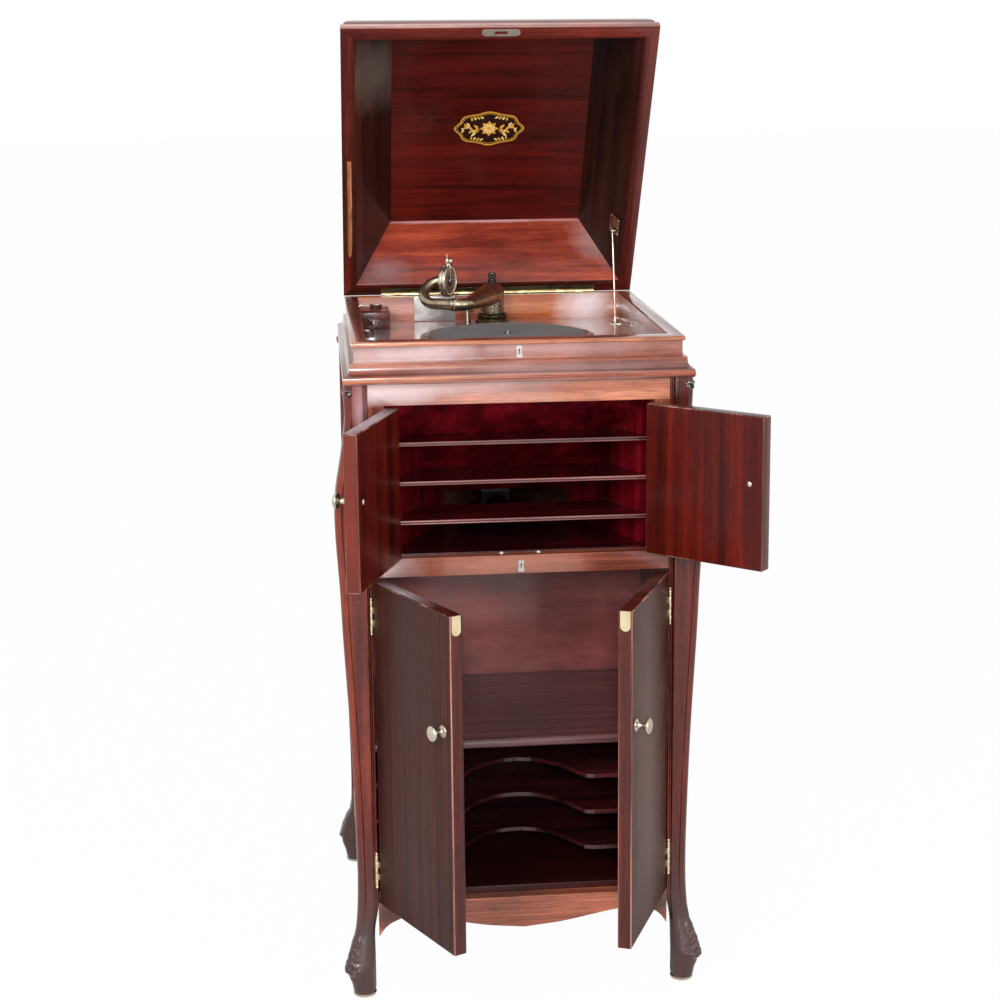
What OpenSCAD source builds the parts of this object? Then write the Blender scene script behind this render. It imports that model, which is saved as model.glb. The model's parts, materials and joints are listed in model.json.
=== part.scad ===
// Floor-standing gramophone: a cabinet on four shaped posts with two upper doors over a wooden
// horn, two lower doors over record shelves, and a motor box under a deep hinged lid.
// The places below are measured from the front of the waist moulding (y = 0), the middle of the
// cabinet (x = 0) and the floor (z = 0); in_frame() then moves the middle of the whole to the origin.

/* [Motor box] */
// Width of the motor box over its rim
case_w = 495; // [480:1:515]
// Depth of the motor box over its rim
case_d = 539; // [520:1:560]
// Height of the motor box's rim above the floor
rim_z = 1022; // [1010:1:1050]
// Depth of the motor board below the rim
well_depth = 44.5; // [40:0.5:50]
// Width of the rim at the sides
rim_side = 23.2; // [20:0.1:26]
// Width of the rim at the front
rim_front = 28.8; // [24:0.1:32]
// Width of the rim at the rear
rim_rear = 18.7; // [18:0.1:22]
// Height of the bead round the rim
bead_h = 7; // [4:0.5:10]
// How far the bead stands out from the box's walls
bead_out = 3.8; // [2:0.1:5]
// Thickness of the motor board
board_t = 14; // [10:0.5:18]

/* [Waist moulding] */
// Height of the waist moulding's underside above the floor
waist_z = 962; // [955:1:965]
// Height of the waist moulding
waist_h = 30; // [24:0.5:36]
// How far it stands out from the rim at the sides
waist_side = 13; // [8:0.5:16]
// How far it stands out from the rim at the front
waist_front = 16.3; // [14:0.1:20]
// How far it stands out from the rim at the rear
waist_rear = 4; // [2:0.1:8]

/* [Posts and feet] */
// Width of a post
post_w = 35; // [32:0.5:40]
// Depth of a post
post_d = 37; // [32:0.5:44]
// How far the waist moulding overhangs a post at the side
post_side_in = 0.5; // [0:0.1:2]
// How far the waist moulding overhangs a post at the front and rear
post_front_in = 10; // [8:0.5:12]
// Width of the beaded strip beside the doors
bead_strip = 6.5; // [5.5:0.1:8]
// Radius of a floor glide
glide_r = 18; // [14:0.5:19]
// Height of a floor glide
glide_h = 5; // [3:0.5:8]

/* [Cabinet panels] */
// Thickness of the side panels
panel_t = 12; // [8:0.5:14]
// How far the side panels lie inside the posts' faces
panel_in = 10; // [8:0.5:12]
// Thickness of the back panel
back_t = 8; // [5:0.5:12]
// Depth of the rails, stiles and front apron
frame_t = 21.7; // [18:0.1:23]
// Height of the top rail
top_rail_h = 34.5; // [28:0.5:40]
// Width of the stiles beside the upper doors
stile_w = 23.9; // [20:0.1:26]
// Height of the middle rail's underside above the floor
mid_rail_z = 666.6; // [650:0.1:680]
// Height of the middle rail
mid_rail_h = 28.7; // [24:0.1:34]
// Height of the aprons' top edge above the floor
apron_z = 148; // [140:1:156]
// Thickness of the side aprons
apron_t = 16; // [12:0.5:18]
// Thickness of the bottom board
bottom_t = 17; // [12:0.5:20]
// Height of the bottom board's top above the floor
bottom_z = 158; // [150:1:165]
// Height of the middle shelf's top above the floor
shelf_z = 397.8; // [360:0.1:430]
// Thickness of the middle shelf
shelf_t = 16.2; // [12:0.1:20]
// Front edge of the middle shelf
shelf_y = 40; // [38:0.5:48]
// Front face of the false back
false_back_y = 367; // [340:1:400]
// Thickness of the false back
false_back_t = 9; // [6:0.5:12]
// Height of the lowest record shelf's middle above the floor
record_z = 210.5; // [200:0.1:215]
// Distance between the record shelves
record_pitch = 58.9; // [50:0.1:60]
// Number of record shelves
record_shelves_n = 3; // [2:1:3]
// Thickness of a record shelf
record_t = 6; // [4:0.5:9]
// Front edge of the record shelves
record_y = 45; // [42:0.5:60]
// Half width of the cut-out in the record shelves
cut_half = 93; // [70:1:120]
// Depth of the cut-out in the record shelves
cut_deep = 90; // [60:1:120]

/* [Horn] */
// Thickness of the horn floor
horn_floor_t = 8; // [6:0.5:12]
// How far the horn floor's top lies above the middle rail
horn_floor_up = 1.7; // [0.5:0.1:3]
// Front edge of the horn
horn_y = 38.2; // [38.1:0.1:44]
// Distance from a stile to the horn's mouth
mouth_in = 1.1; // [1.1:0.1:11]
// Height of the horn's mouth
mouth_h = 229; // [215:0.5:229]
// Depth from the mouth to the throat
horn_depth = 202; // [180:1:230]
// Half width of the throat
throat_half = 100; // [80:1:115]
// Height of the throat
throat_h = 50; // [46:0.5:60]
// Thickness of the horn's boards
horn_t = 9; // [6:0.5:12]
// Thickness of a horn slat
slat_t = 6; // [4:0.5:8]
// Depth of a horn slat
slat_d = 100; // [70:1:110]
// Distance from the horn floor to the lowest slat's top
slat_first = 50; // [44:1:56]
// Distance between the slats
slat_pitch = 60; // [50:1:64]
// Radius of the iron elbow's bend
elbow_bend = 58.8; // [50:0.1:60]
// Outer radius of the iron elbow
elbow_r = 22; // [20:0.5:24]
// Wall of the iron elbow
elbow_wall = 2.5; // [1.5:0.1:4]

/* [Doors] */
// Thickness of the doors
door_t = 20.8; // [18:0.1:21]
// Gap at a door's top and bottom
door_gap = 2; // [1:0.1:3]
// Gap between the two doors of a pair
door_meet = 2; // [1:0.1:3]
// How far the left lower door stands open
left_lower_open = 62.9; // [50:0.1:80]
// How far the right lower door stands open
right_lower_open = 67; // [50:0.1:80]
// How far the left upper door stands open
left_upper_open = 109.4; // [95:0.1:125]
// How far the right upper door stands open
right_upper_open = 138.1; // [125:0.1:140]
// Radius of the lower hinges' knuckles
lower_knuckle_r = 2.8; // [2.2:0.1:2.9]
// Height of the lower hinges
lower_hinge_h = 50; // [40:1:60]
// Radius of the upper hinges' knuckles
upper_knuckle_r = 2.2; // [1.8:0.1:2.4]
// Height of the upper hinges
upper_hinge_h = 38; // [30:1:50]
// Thickness of a hinge leaf
leaf_t = 1; // [0.8:0.1:1.2]
// Thickness of the brass catch plates on the lower doors
catch_t = 0.4; // [0.3:0.1:0.5]
// Width of the catch plates
catch_w = 15; // [10:0.5:16]
// Height of the catch plates
catch_h = 30; // [20:1:40]
// How far the lower hinges' leaves reach behind their pins
lower_leaf_w = 20; // [14:0.5:20]
// How far the upper hinges' leaves reach behind their pins
upper_leaf_w = 19; // [14:0.5:20]
// Radius of a knob's disc
knob_r = 12; // [9:0.5:14]
// Height of a knob
knob_h = 24; // [20:0.5:28]
// Distance from a door's free edge to its knob
knob_in = 24; // [18:0.5:30]

/* [Lid] */
// How far the lid stands open
lid_open = 56.28; // [45:0.1:70]
// Inner depth of the lid
lid_hollow = 108.7; // [90:0.1:125]
// Thickness of the lid's top
lid_top_t = 9.3; // [6:0.1:14]
// Width of the lid's rim at the sides
lid_rim_side = 21.2; // [18:0.1:24]
// Width of the lid's rim at the front
lid_rim_front = 20; // [17:0.1:23]
// Width of the lid's rim at the rear
lid_rim_rear = 22.5; // [21.6:0.1:24]
// How far the lid's walls lean in at the sides
lid_lean_side = 63; // [50:0.5:70]
// How far the lid's walls lean in at the front
lid_lean_front = 76; // [60:0.5:80]
// How far the lid's walls lean in at the rear
lid_lean_rear = 50.5; // [44:0.5:56]
// Height of the lip round the lid's edge
lip_h = 14; // [10:0.5:18]
// Width of the lid hinge's leaves
lid_leaf_w = 17; // [14:0.5:18]
// Half length of the lid hinge
lid_hinge_half = 184; // [150:1:190]
// Radius of the lid hinge's knuckles
lid_knuckle_r = 3; // [2.4:0.1:3.2]
// Distance from the lid hinge to the stay's pivot
stay_along = 118.3; // [100:0.1:130]
// Distance from the lid's rim plane to the stay's pivot
stay_depth = 18; // [14:0.5:20]
// Distance from the well's side wall to the stay rod
stay_in = 15.3; // [14.3:0.1:19.3]
// Radius of the stay rod
stay_r = 1.5; // [1.2:0.1:2]
// Length of the stay rod
stay_len = 172; // [166:1:182]

/* [Turntable] */
// Sideways place of the turntable's centre
table_x = 9; // [0:0.5:12]
// How far the turntable's centre lies in front of the tone arm's pivot
table_front = 209; // [200:1:225]
// Radius of the turntable over its nickel rim
table_r = 140; // [120:1:145]
// Radius of the felt
felt_r = 127; // [110:1:133]
// Thickness of the felt
felt_t = 2.2; // [1.5:0.1:3]
// Height of the turntable's metal top above the board
table_up = 9.7; // [9:0.1:12]
// Radius of the record spindle
pin_r = 3.5; // [3:0.05:3.6]
// Height of the record spindle above the felt
pin_up = 5.5; // [4:0.1:9]

/* [Motor] */
// Distance from the turntable spindle to the spring barrel
barrel_gap = 54; // [50:0.5:60]
// Radius of the spring barrel
barrel_r = 42; // [36:0.5:46]
// Height of the spring barrel
barrel_h = 43; // [36:0.5:44]
// Teeth on the spring barrel's gear
barrel_teeth = 92; // [72:4:92]
// Teeth on the spindle's pinion
pinion_teeth = 16; // [12:1:16]
// Radius of the worm wheel on the spindle
wheel_r = 25; // [20:0.5:26]
// Radius of the winding gear on the barrel's arbor
winding_gear_r = 28; // [24:0.5:28]
// Radius of the winding shaft
winding_r = 4; // [3:0.5:5]
// Radius of the socket that takes the crank
crank_r = 5; // [4:0.1:5.5]
// Depth of the socket that takes the crank
crank_deep = 25; // [15:1:30]

/* [Tone arm] */
// Sideways place of the tone arm's pivot
arm_x = 3; // [-6:0.5:12]
// Distance from the well's rear wall to the tone arm's pivot
arm_back = 31.6; // [31.6:0.1:38]
// Height of the tone arm's axis above the board
arm_up = 50.5; // [48:0.5:56]
// Compass heading of the tone arm
arm_heading = -111.2; // [-120:0.1:-100]
// Length of the tone arm's straight tube
arm_len = 136.3; // [120:0.1:150]
// Radius of the tone arm at its foot
arm_r = 20.3; // [18:0.1:21]
// Radius of the tone arm at its tip
arm_tip_r = 10.4; // [9:0.1:11]
// Turn of the bend at the arm's tip
arm_bend = 96; // [80:1:100]
// Length of the gooseneck's straight leg
neck_leg = 37; // [34:0.5:42]
// Radius of the gooseneck's return bend
neck_bend = 25; // [22:0.5:28]
// Radius of the gooseneck's tube
neck_r = 9.5; // [8:0.1:10]
// Angle of the gooseneck from level, folded back
neck_back = 137; // [120:1:140]
// Radius of the soundbox
box_r = 27; // [24:0.5:29]
// Thickness of the soundbox
box_t = 13; // [10:0.5:14]
// Distance from the soundbox's centre to the needle's point
needle_reach = 45.7; // [43:0.1:46]

/* [Hidden] */
$fn = 64;

// Clearance between a turning part and what it turns past
clear = 0.4;
// Radial clearance of a pin or shaft in its bore
run_fit = 0.05;
// Gap between parts that lie together
seat = 0.3;
// How far a cutting solid passes the faces that it cuts
over = 1;

front_y = waist_front;
rear_y = front_y + case_d;
half_w = case_w / 2;
wall_x = half_w - bead_out;
well_x = half_w - rim_side;
well_y0 = front_y + rim_front;
well_y1 = rear_y - rim_rear;
board_z = rim_z - well_depth;
under_z = board_z - board_t;
waist_half = half_w + waist_side;
waist_y1 = rear_y + waist_rear;
middle_y = waist_y1 / 2;
post_x1 = waist_half - post_side_in;
post_x0 = post_x1 - post_w;
post_y0 = post_front_in;
post_y1 = post_y0 + post_d;
panel_x1 = post_x1 - panel_in;
panel_x0 = panel_x1 - panel_t;
back_y1 = waist_y1 - post_front_in - 6;
back_y0 = back_y1 - back_t;
frame_y1 = front_y + frame_t;
stile_x = post_x0 - stile_w;
mouth_half = stile_x - mouth_in;
mid_top = mid_rail_z + mid_rail_h;
top_under = waist_z - top_rail_h;
floor_top = mid_top + horn_floor_up;
floor_under = floor_top - horn_floor_t;
throat_y = horn_y + horn_depth;
arm_y = well_y1 - arm_back;
table_y = arm_y - table_front;
stay_x = well_x - stay_in;
// Straight length at the foot of the iron elbow
elbow_foot = 6;
duct_y = arm_y - elbow_bend - elbow_foot;
duct_len = duct_y - throat_y;
roof_slope = (mouth_h - throat_h) / horn_depth;

// The posts' faces: height, then how far the face stands out from the straight post
side_curve = [[0, 7], [14, 9], [42, 17], [75, 9], [107, 0], [190, -4], [385, 0.5],
    [560, 9], [640, 12], [767, 17.5], [850, 6], [897, -0.5], [930, 0]];
front_curve = [[0, 14], [14, 15], [42, 18], [75, 9], [107, 0], [190, -4], [385, 0.5],
    [560, 4], [640, 6], [767, 8.5], [850, 3], [897, -0.5], [930, 0]];
inner_curve = [[0, 16], [42, 15], [75, 10], [120, 1], [160, 0]];
// The rear posts have the same feet and rise straight from them
rear_side_curve = [[0, 7], [14, 9], [42, 17], [75, 9], [107, -2], [190, -4], [385, -1.5],
    [930, -1.5]];
rear_face_curve = [[0, 14], [14, 15], [42, 18], [75, 9], [107, 0], [190, -4], [385, 0],
    [930, 0]];

// Hinge axes and the doors that hang on them
lower_axis = [post_x0 + 1.5, 11.8];
lower_edge = post_x0 - 2.5;
lower_face = lower_axis[1] + 2.2;
lower_z = [apron_z + 1, mid_rail_z - 4];
lower_hinges = [178.5, 584];
upper_axis = [stile_x - 0.45, front_y - 2];
upper_edge = stile_x - 0.9;
upper_face = front_y;
upper_z = [mid_top + door_gap, top_under - door_gap];
upper_hinges = [730, 860];
lower_knob_z = 487;
upper_knob_z = 825;
pin_share = 0.5;

// Lid: x as in the cabinet, y from the hinge towards the front is negative, z from the rim plane
lid_axis = [rear_y, rim_z];
lid_height = lid_hollow + lid_top_t;
lid_in_x = half_w - lid_rim_side;
lid_ceiling = [lid_in_x - lid_lean_side, case_d - lid_rim_front - lid_lean_front,
    lid_rim_rear + lid_lean_rear];
lid_shape = [[0, clear], [0, lip_h], [5, lip_h], [5.5, 24], [16, 46], [36, 76], [54, 103],
    [66, lid_height]];
lid_wall_tilt = atan(lid_lean_side / (lid_hollow + clear));

// Stay: the rod swings on the lid and slides down through its guide in the board
stay_foot_y = lid_axis[0] - 87.5;
stay_open = lid_point(stay_along, stay_depth, lid_open);
stay_lean = atan2(stay_open[0] - stay_foot_y, stay_open[1] - board_z);

table_top = board_z + table_up;
spindle_bottom = under_z - 95;
arm_z = board_z + arm_up;
arm_bend_r = 17;
// Angle between the gooseneck's bend and the needle
needle_lean = 54;
// How far the gooseneck's plug reaches into the bent tip of the arm
plug_in = 2;
neck_tip = arm_tip();
neck_heading = arm_heading - arm_bend;

// Motor, hung under the board
frame_top = [under_z - 12, under_z - 6];
frame_bottom = [under_z - 97, under_z - 92];
barrel_x = table_x - barrel_gap;
barrel_z = under_z - 80;
gear_z = barrel_z - 7;
gear_t = 5;
wheel_z = under_z - 33;
gear_scale = 2 * barrel_gap / (barrel_teeth + pinion_teeth);
governor_x = table_x + wheel_r + 3.8;
winding_y = table_y + winding_gear_r + winding_r + 0.8;
winding_z = wheel_z + 2.5;
crank_x = panel_x1 + 2;

// The middle of the box round the whole, with its doors and lid as they stand
right_reach = upper_axis[0] - (upper_axis[0] - door_meet / 2) * cos(right_upper_open);
left_reach = upper_axis[0] - (upper_axis[0] - knob_in) * cos(left_upper_open)
    + knob_h * sin(left_upper_open);
front_reach = lower_axis[1] - lower_axis[0] * sin(max(left_lower_open, right_lower_open));
lid_back = lid_point(lid_shape[7][0], lid_shape[7][1], lid_open)[0];
mid_x = (right_reach - left_reach) / 2;
mid_y = (front_reach + lid_back) / 2;

function lid_point(along, depth, open) = [
    rear_y - along * cos(open) + depth * sin(open),
    rim_z + along * sin(open) + depth * cos(open)
];
function arm_tip() = [
    arm_len + arm_bend_r * sin(arm_bend),
    -arm_bend_r * (1 - cos(arm_bend))
];
function blend(a, b, c, d, t) = 0.5 * (2 * b + (c - a) * t + (2 * a - 5 * b + 4 * c - d) * t * t
    + (3 * b - a - 3 * c + d) * t * t * t);
// A smooth line through the points p, with n steps between two of them
function smooth(p, n) = [
    for (i = [0 : len(p) - 2])
        for (k = [0 : n - 1])
            blend(p[max(i - 1, 0)], p[i], p[i + 1], p[min(i + 2, len(p) - 1)], k / n),
    p[len(p) - 1]
];
function flip(p) = [for (i = [len(p) - 1 : -1 : 0]) [-p[i][0], p[i][1]]];

module in_frame() {
    translate([-mid_x, -mid_y, 0]) children();
}

// A block between two corners
module block(lo, hi) {
    translate(lo) cube(hi - lo);
}

// A flat outline in x and z, drawn out along y
module along_y(y0, y1) {
    translate([0, y1, 0]) rotate([90, 0, 0]) linear_extrude(y1 - y0) children();
}

// A flat outline in y and z, drawn out along x
module along_x(x0, x1) {
    translate([x0, 0, 0]) rotate([90, 0, 90]) linear_extrude(x1 - x0) children();
}

module both_sides() {
    children();
    mirror([1, 0, 0]) children();
}

// A closed band between a post's inner line and a curved outer line
module post_outline(curve, inner, outer) {
    line = smooth(curve, 5);
    face = [for (p = line) [outer + p[1], glide_h + p[0]]];
    top = outer + curve[len(curve) - 1][1];
    polygon(concat([[inner, glide_h]], face, [[top, waist_z], [inner, waist_z]]));
}

module depth_outline(curve) {
    front = [for (p = smooth(curve, 5)) [post_y0 - p[1], glide_h + p[0]]];
    rear = [for (p = smooth(inner_curve, 4)) [post_y1 - p[1], glide_h + p[0]]];
    back_down = [for (i = [len(rear) - 1 : -1 : 0]) rear[i]];
    polygon(concat(front, [[post_y0, waist_z], [post_y1, waist_z]], back_down));
}

module post(side, face) {
    difference() {
        intersection() {
            along_y(post_y0 - 30, post_y1 + over) post_outline(side, post_x0, post_x1);
            along_x(post_x0 - over, post_x1 + 30) depth_outline(face);
        }
        block([post_x0 - over, post_y0 - 30, glide_h - over],
            [post_x0 + bead_strip, lower_axis[1] + lower_knuckle_r + clear, waist_z + over]);
    }
}

module at_rear() {
    translate([0, 2 * middle_y, 0]) mirror([0, 1, 0]) children();
}

module posts() {
    color("#6b2a22") in_frame() both_sides() {
        post(side_curve, front_curve);
        at_rear() post(rear_side_curve, rear_face_curve);
    }
}

module floor_glides() {
    centre = [(post_x0 + bead_strip + post_x1 + 7) / 2, (post_y0 - 14 + post_y1 - 16) / 2, 0];
    profile = [[0, 0], [glide_r - 3, 0], [glide_r - 0.8, 1], [glide_r, 2.6],
        [glide_r, glide_h], [0, glide_h]];
    color("silver") in_frame() both_sides() {
        translate(centre) rotate_extrude() polygon(profile);
        at_rear() translate(centre) rotate_extrude() polygon(profile);
    }
}

// Mitred quarters of a frame between an outer and an inner rectangle
module quarter(x1, y0, y1, ix, iy0, iy1, side, z0, z1) {
    corners = side == 0 ? [[-x1, y0], [x1, y0], [ix, iy0], [-ix, iy0]]
        : side == 1 ? [[x1, y0], [x1, y1], [ix, iy1], [ix, iy0]]
        : side == 2 ? [[x1, y1], [-x1, y1], [-ix, iy1], [ix, iy1]]
        : [[-x1, y1], [-x1, y0], [-ix, iy0], [-ix, iy1]];
    translate([0, 0, z0]) linear_extrude(z1 - z0) polygon(corners);
}

// A block whose four sides all have the moulded edge: out from the faces, then height
module moulded(edge, x1, y0, y1) {
    intersection() {
        along_y(y0 - 50, y1 + 50)
            polygon(concat([for (p = edge) [x1 + p[0], p[1]]],
                flip([for (p = edge) [x1 + p[0], p[1]]])));
        along_x(-x1 - 50, x1 + 50)
            polygon(concat([for (p = edge) [y1 + p[0], p[1]]],
                [for (i = [len(edge) - 1 : -1 : 0]) [y0 - edge[i][0], edge[i][1]]]));
    }
}

module waist_moulding() {
    lip = smooth([[-2.4, waist_z], [-0.3, waist_z + 3], [0, waist_z + 8], [-1.4, waist_z + 12]], 4);
    cove = smooth([[-4, waist_z + 13], [-8.5, waist_z + 16], [-10.5, waist_z + 23],
        [-11.2, waist_z + waist_h]], 4);
    color("#7a3224") in_frame() for (side = [0 : 3]) intersection() {
        moulded(concat(lip, cove), waist_half, 0, waist_y1);
        difference() {
            quarter(waist_half + 2, -2, waist_y1 + 2, wall_x, front_y + bead_out,
                rear_y - bead_out, side, waist_z - over, waist_z + waist_h + over);
            block([-wall_x, front_y + bead_out, waist_z - 2 * over],
                [wall_x, rear_y - bead_out, rim_z]);
        }
    }
}

// The groove that the lid hinge's knuckles lie in
module hinge_groove() {
    translate([-lid_hinge_half - 2, 0, 0]) rotate([0, 90, 0])
        cylinder(r = lid_knuckle_r + clear, h = 2 * lid_hinge_half + 4);
}

module motor_box() {
    color("#5f241c") in_frame() difference() {
        for (side = [0 : 3]) intersection() {
            union() {
                block([-wall_x, front_y + bead_out, waist_z], [wall_x, rear_y - bead_out, rim_z]);
                block([-half_w, front_y, rim_z - bead_h], [half_w, rear_y, rim_z]);
            }
            quarter(half_w, front_y, rear_y, well_x, well_y0, well_y1, side,
                waist_z, rim_z);
        }
        translate([0, lid_axis[0], lid_axis[1]]) hinge_groove();
        block([-lid_hinge_half - seat, rear_y - lid_leaf_w - lid_knuckle_r - seat, rim_z - 1.4],
            [lid_hinge_half + seat, rear_y + over, rim_z + over]);
    }
}

module motor_board() {
    color("#5a2018") in_frame() difference() {
        block([-well_x + seat, well_y0 + seat, under_z], [well_x - seat, well_y1 - seat, board_z]);
        translate([table_x, table_y, under_z - over]) cylinder(r = 9, h = board_t + 2 * over);
        translate([arm_x, arm_y, under_z - over])
            cylinder(r = elbow_r - elbow_wall, h = board_t + 2 * over);
        block([stay_x - 4, stay_foot_y - 8, under_z - over],
            [stay_x + 4, stay_foot_y + 16, board_z + over]);
    }
}

module side_panels() {
    color("#5f241c") in_frame() difference() {
        both_sides() block([panel_x0, post_y1, apron_z], [panel_x1, 2 * middle_y - post_y1, waist_z]);
        translate([panel_x0 - over, winding_y, winding_z]) rotate([0, 90, 0])
            cylinder(r = crank_r + 5, h = panel_t + 2 * over);
    }
}

module back_panel() {
    color("#4a2018") in_frame()
        block([-post_x0, back_y0, apron_z - 40], [post_x0, back_y1, waist_z]);
}

module front_rails() {
    color("#8a4030") in_frame() {
        block([-post_x0, front_y, top_under], [post_x0, frame_y1, waist_z]);
        block([-post_x0, front_y, mid_rail_z], [post_x0, frame_y1, mid_top]);
    }
}

module upper_stiles() {
    color("#7a3428") in_frame() difference() {
        both_sides() block([stile_x, front_y, mid_top], [post_x0, frame_y1, top_under]);
        both_sides() for (z = upper_hinges)
            block([stile_x - over, front_y - over, z - seat],
                [stile_x + leaf_t, upper_axis[1] + upper_leaf_w + seat, z + upper_hinge_h + seat]);
    }
}

// Half of an apron's shaped lower edge: share of the half width, then height below the top
apron_edge = [[0, 51], [0.25, 45.3], [0.45, 37], [0.64, 29], [0.83, 27]];
bracket_edge = [[0.845, 27], [0.92, 35], [0.965, 44], [1, 56]];

module apron_outline(half) {
    points = concat(smooth(apron_edge, 4), smooth(bracket_edge, 4));
    edge = [for (p = points) [p[0] * half, apron_z - p[1]]];
    polygon(concat(edge, [[half, apron_z], [-half, apron_z]], flip(edge)));
}

module aprons() {
    side_y0 = post_y1;
    side_half = (2 * middle_y - 2 * side_y0) / 2;
    color("#8a4a34") in_frame() {
        along_y(front_y - 2.3, frame_y1 - 2) apron_outline(post_x0);
        both_sides() translate([0, middle_y, 0])
            along_x(panel_x0 - 1, panel_x0 - 1 + apron_t) apron_outline(side_half);
    }
}

// A board that fills the cabinet's width, narrow between the front posts
module shelf_board(y0, y1, z0, z1) {
    block([-post_x0, y0, z0], [post_x0, y1, z1]);
    if (y1 > post_y1)
        block([-panel_x0, post_y1, z0], [panel_x0, min(y1, 2 * middle_y - post_y1), z1]);
}

module bottom_board() {
    color("#7a3a28") in_frame() difference() {
        shelf_board(frame_y1 - 2, back_y0, bottom_z - bottom_t, bottom_z);
        both_sides() block([panel_x0 - 1, post_y1, apron_z - bottom_t - over],
            [panel_x0 + over, 2 * middle_y - post_y1, apron_z]);
    }
}

module middle_shelf() {
    color("#4a1c1c") in_frame() {
        shelf_board(shelf_y + shelf_t / 2, false_back_y, shelf_z - shelf_t, shelf_z);
        translate([-post_x0, shelf_y + shelf_t / 2, shelf_z - shelf_t / 2]) rotate([0, 90, 0])
            cylinder(r = shelf_t / 2, h = 2 * post_x0);
    }
}

module false_back() {
    color("#6b2f24") in_frame()
        block([-panel_x0, false_back_y, bottom_z], [panel_x0, false_back_y + false_back_t, floor_under]);
}

// Half of a record shelf's cut-out: distance from the middle, then depth from the front edge
module record_outline() {
    shoulder = [[cut_half + 22, 0], [cut_half + 9, 4], [cut_half + 1, 14], [cut_half - 9, 30],
        [cut_half - 30, cut_deep * 0.66], [cut_half - 62, cut_deep * 0.93], [0, cut_deep]];
    edge = smooth(shoulder, 5);
    line = [for (p = edge) [p[0], record_y + p[1]]];
    polygon(concat([[panel_x0, post_y1], [post_x0, post_y1], [post_x0, record_y]], line, flip(line),
        [[-post_x0, record_y], [-post_x0, post_y1], [-panel_x0, post_y1],
            [-panel_x0, false_back_y], [panel_x0, false_back_y]]));
}

module record_shelves() {
    color("#6b3424") in_frame() for (i = [0 : record_shelves_n - 1])
        translate([0, 0, record_z + i * record_pitch - record_t / 2])
            linear_extrude(record_t) record_outline();
}

// The horn in plan: half width at the mouth and at the throat, grown outwards by t
module horn_plan(t, y0, y1, z0, z1) {
    lean = (mouth_half - throat_half) / horn_depth;
    edge = function(y) mouth_half - (y - horn_y) * lean + t;
    translate([0, 0, z0]) linear_extrude(z1 - z0)
        polygon([[-edge(y0), y0], [edge(y0), y0], [edge(y1), y1], [-edge(y1), y1]]);
}

// The horn from the side, under the roof's lower face, raised by t
module horn_height(t, y0, y1) {
    roof = function(y) floor_top + mouth_h - (y - horn_y) * roof_slope + t;
    along_x(-half_w, half_w)
        polygon([[y0, floor_top], [y1, floor_top], [y1, roof(y1)], [y0, roof(y0)]]);
}

// The roof board over the two side boards
module horn_walls() {
    color("#70101c") in_frame() {
        intersection() {
            difference() {
                horn_height(horn_t / cos(atan(roof_slope)), horn_y, throat_y);
                horn_height(0, horn_y - over, throat_y + over);
            }
            horn_plan(horn_t, horn_y, throat_y, floor_top, top_under);
        }
        intersection() {
            difference() {
                horn_plan(horn_t, horn_y, throat_y, floor_top, waist_z);
                horn_plan(0, horn_y - over, throat_y + over, floor_top - over, waist_z + over);
            }
            horn_height(0, horn_y, throat_y);
        }
    }
}

module horn_floor() {
    color("#55101a") in_frame() shelf_board(frame_y1, back_y0, floor_under, floor_top);
}

module horn_slats() {
    color("#7a2028") in_frame() intersection() {
        for (i = [0 : 2]) block([-half_w, horn_y + 2, floor_top + slat_first + i * slat_pitch - slat_t],
            [half_w, horn_y + 2 + slat_d, floor_top + slat_first + i * slat_pitch]);
        horn_plan(0, horn_y, throat_y, floor_top, waist_z);
        horn_height(0, horn_y, throat_y);
    }
}

// The tapered duct, with its outside grown by t on all four sides
module duct_form(t, y0, y1) {
    narrow = elbow_r + 2;
    plan_w = function(y) throat_half + (y - throat_y) * (narrow - throat_half) / duct_len + t;
    intersection() {
        translate([0, 0, floor_top]) linear_extrude(throat_h + t)
            polygon([[-plan_w(y0), y0], [plan_w(y0), y0], [plan_w(y1), y1], [-plan_w(y1), y1]]);
        block([-half_w, y0, floor_top], [half_w, y1, floor_top + throat_h + t]);
    }
}

module horn_duct() {
    color("#3a1410") in_frame() difference() {
        duct_form(7, throat_y, duct_y);
        duct_form(0, throat_y - over, duct_y + over);
    }
}

elbow_z = floor_top + throat_h / 2;
// How far the elbow's upper flange stands out
elbow_flange = 6;

module elbow_form(r, past) {
    translate([0, duct_y - past, elbow_z]) rotate([-90, 0, 0])
        cylinder(r = r, h = elbow_foot + past);
    translate([0, duct_y + elbow_foot, elbow_z + elbow_bend]) rotate([90, 0, 90]) rotate([0, 0, -90])
        rotate_extrude(angle = 90) translate([elbow_bend, 0]) circle(r = r);
    translate([0, arm_y, elbow_z + elbow_bend])
        cylinder(r = r, h = under_z - elbow_z - elbow_bend + past);
}

module horn_elbow() {
    color("#303030") in_frame() translate([arm_x, 0, 0]) difference() {
        union() {
            elbow_form(elbow_r, 0);
            block([-elbow_r - 8, duct_y, floor_top], [elbow_r + 8, duct_y + 5, floor_top + throat_h + 7]);
            translate([0, arm_y, under_z - 5]) cylinder(r = elbow_r + elbow_flange, h = 5);
        }
        elbow_form(elbow_r - elbow_wall, over);
    }
}

// The knuckles of one hinge half: every second one of n, from which = 0 or 1
module knuckles(r, h, n, which) {
    step = h / n;
    for (i = [which : 2 : n - 1]) translate([0, 0, i * step + seat / 2]) difference() {
        cylinder(r = r, h = step - seat);
        translate([0, 0, -over]) cylinder(r = r * pin_share + run_fit, h = step + 2 * over);
    }
}

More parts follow.
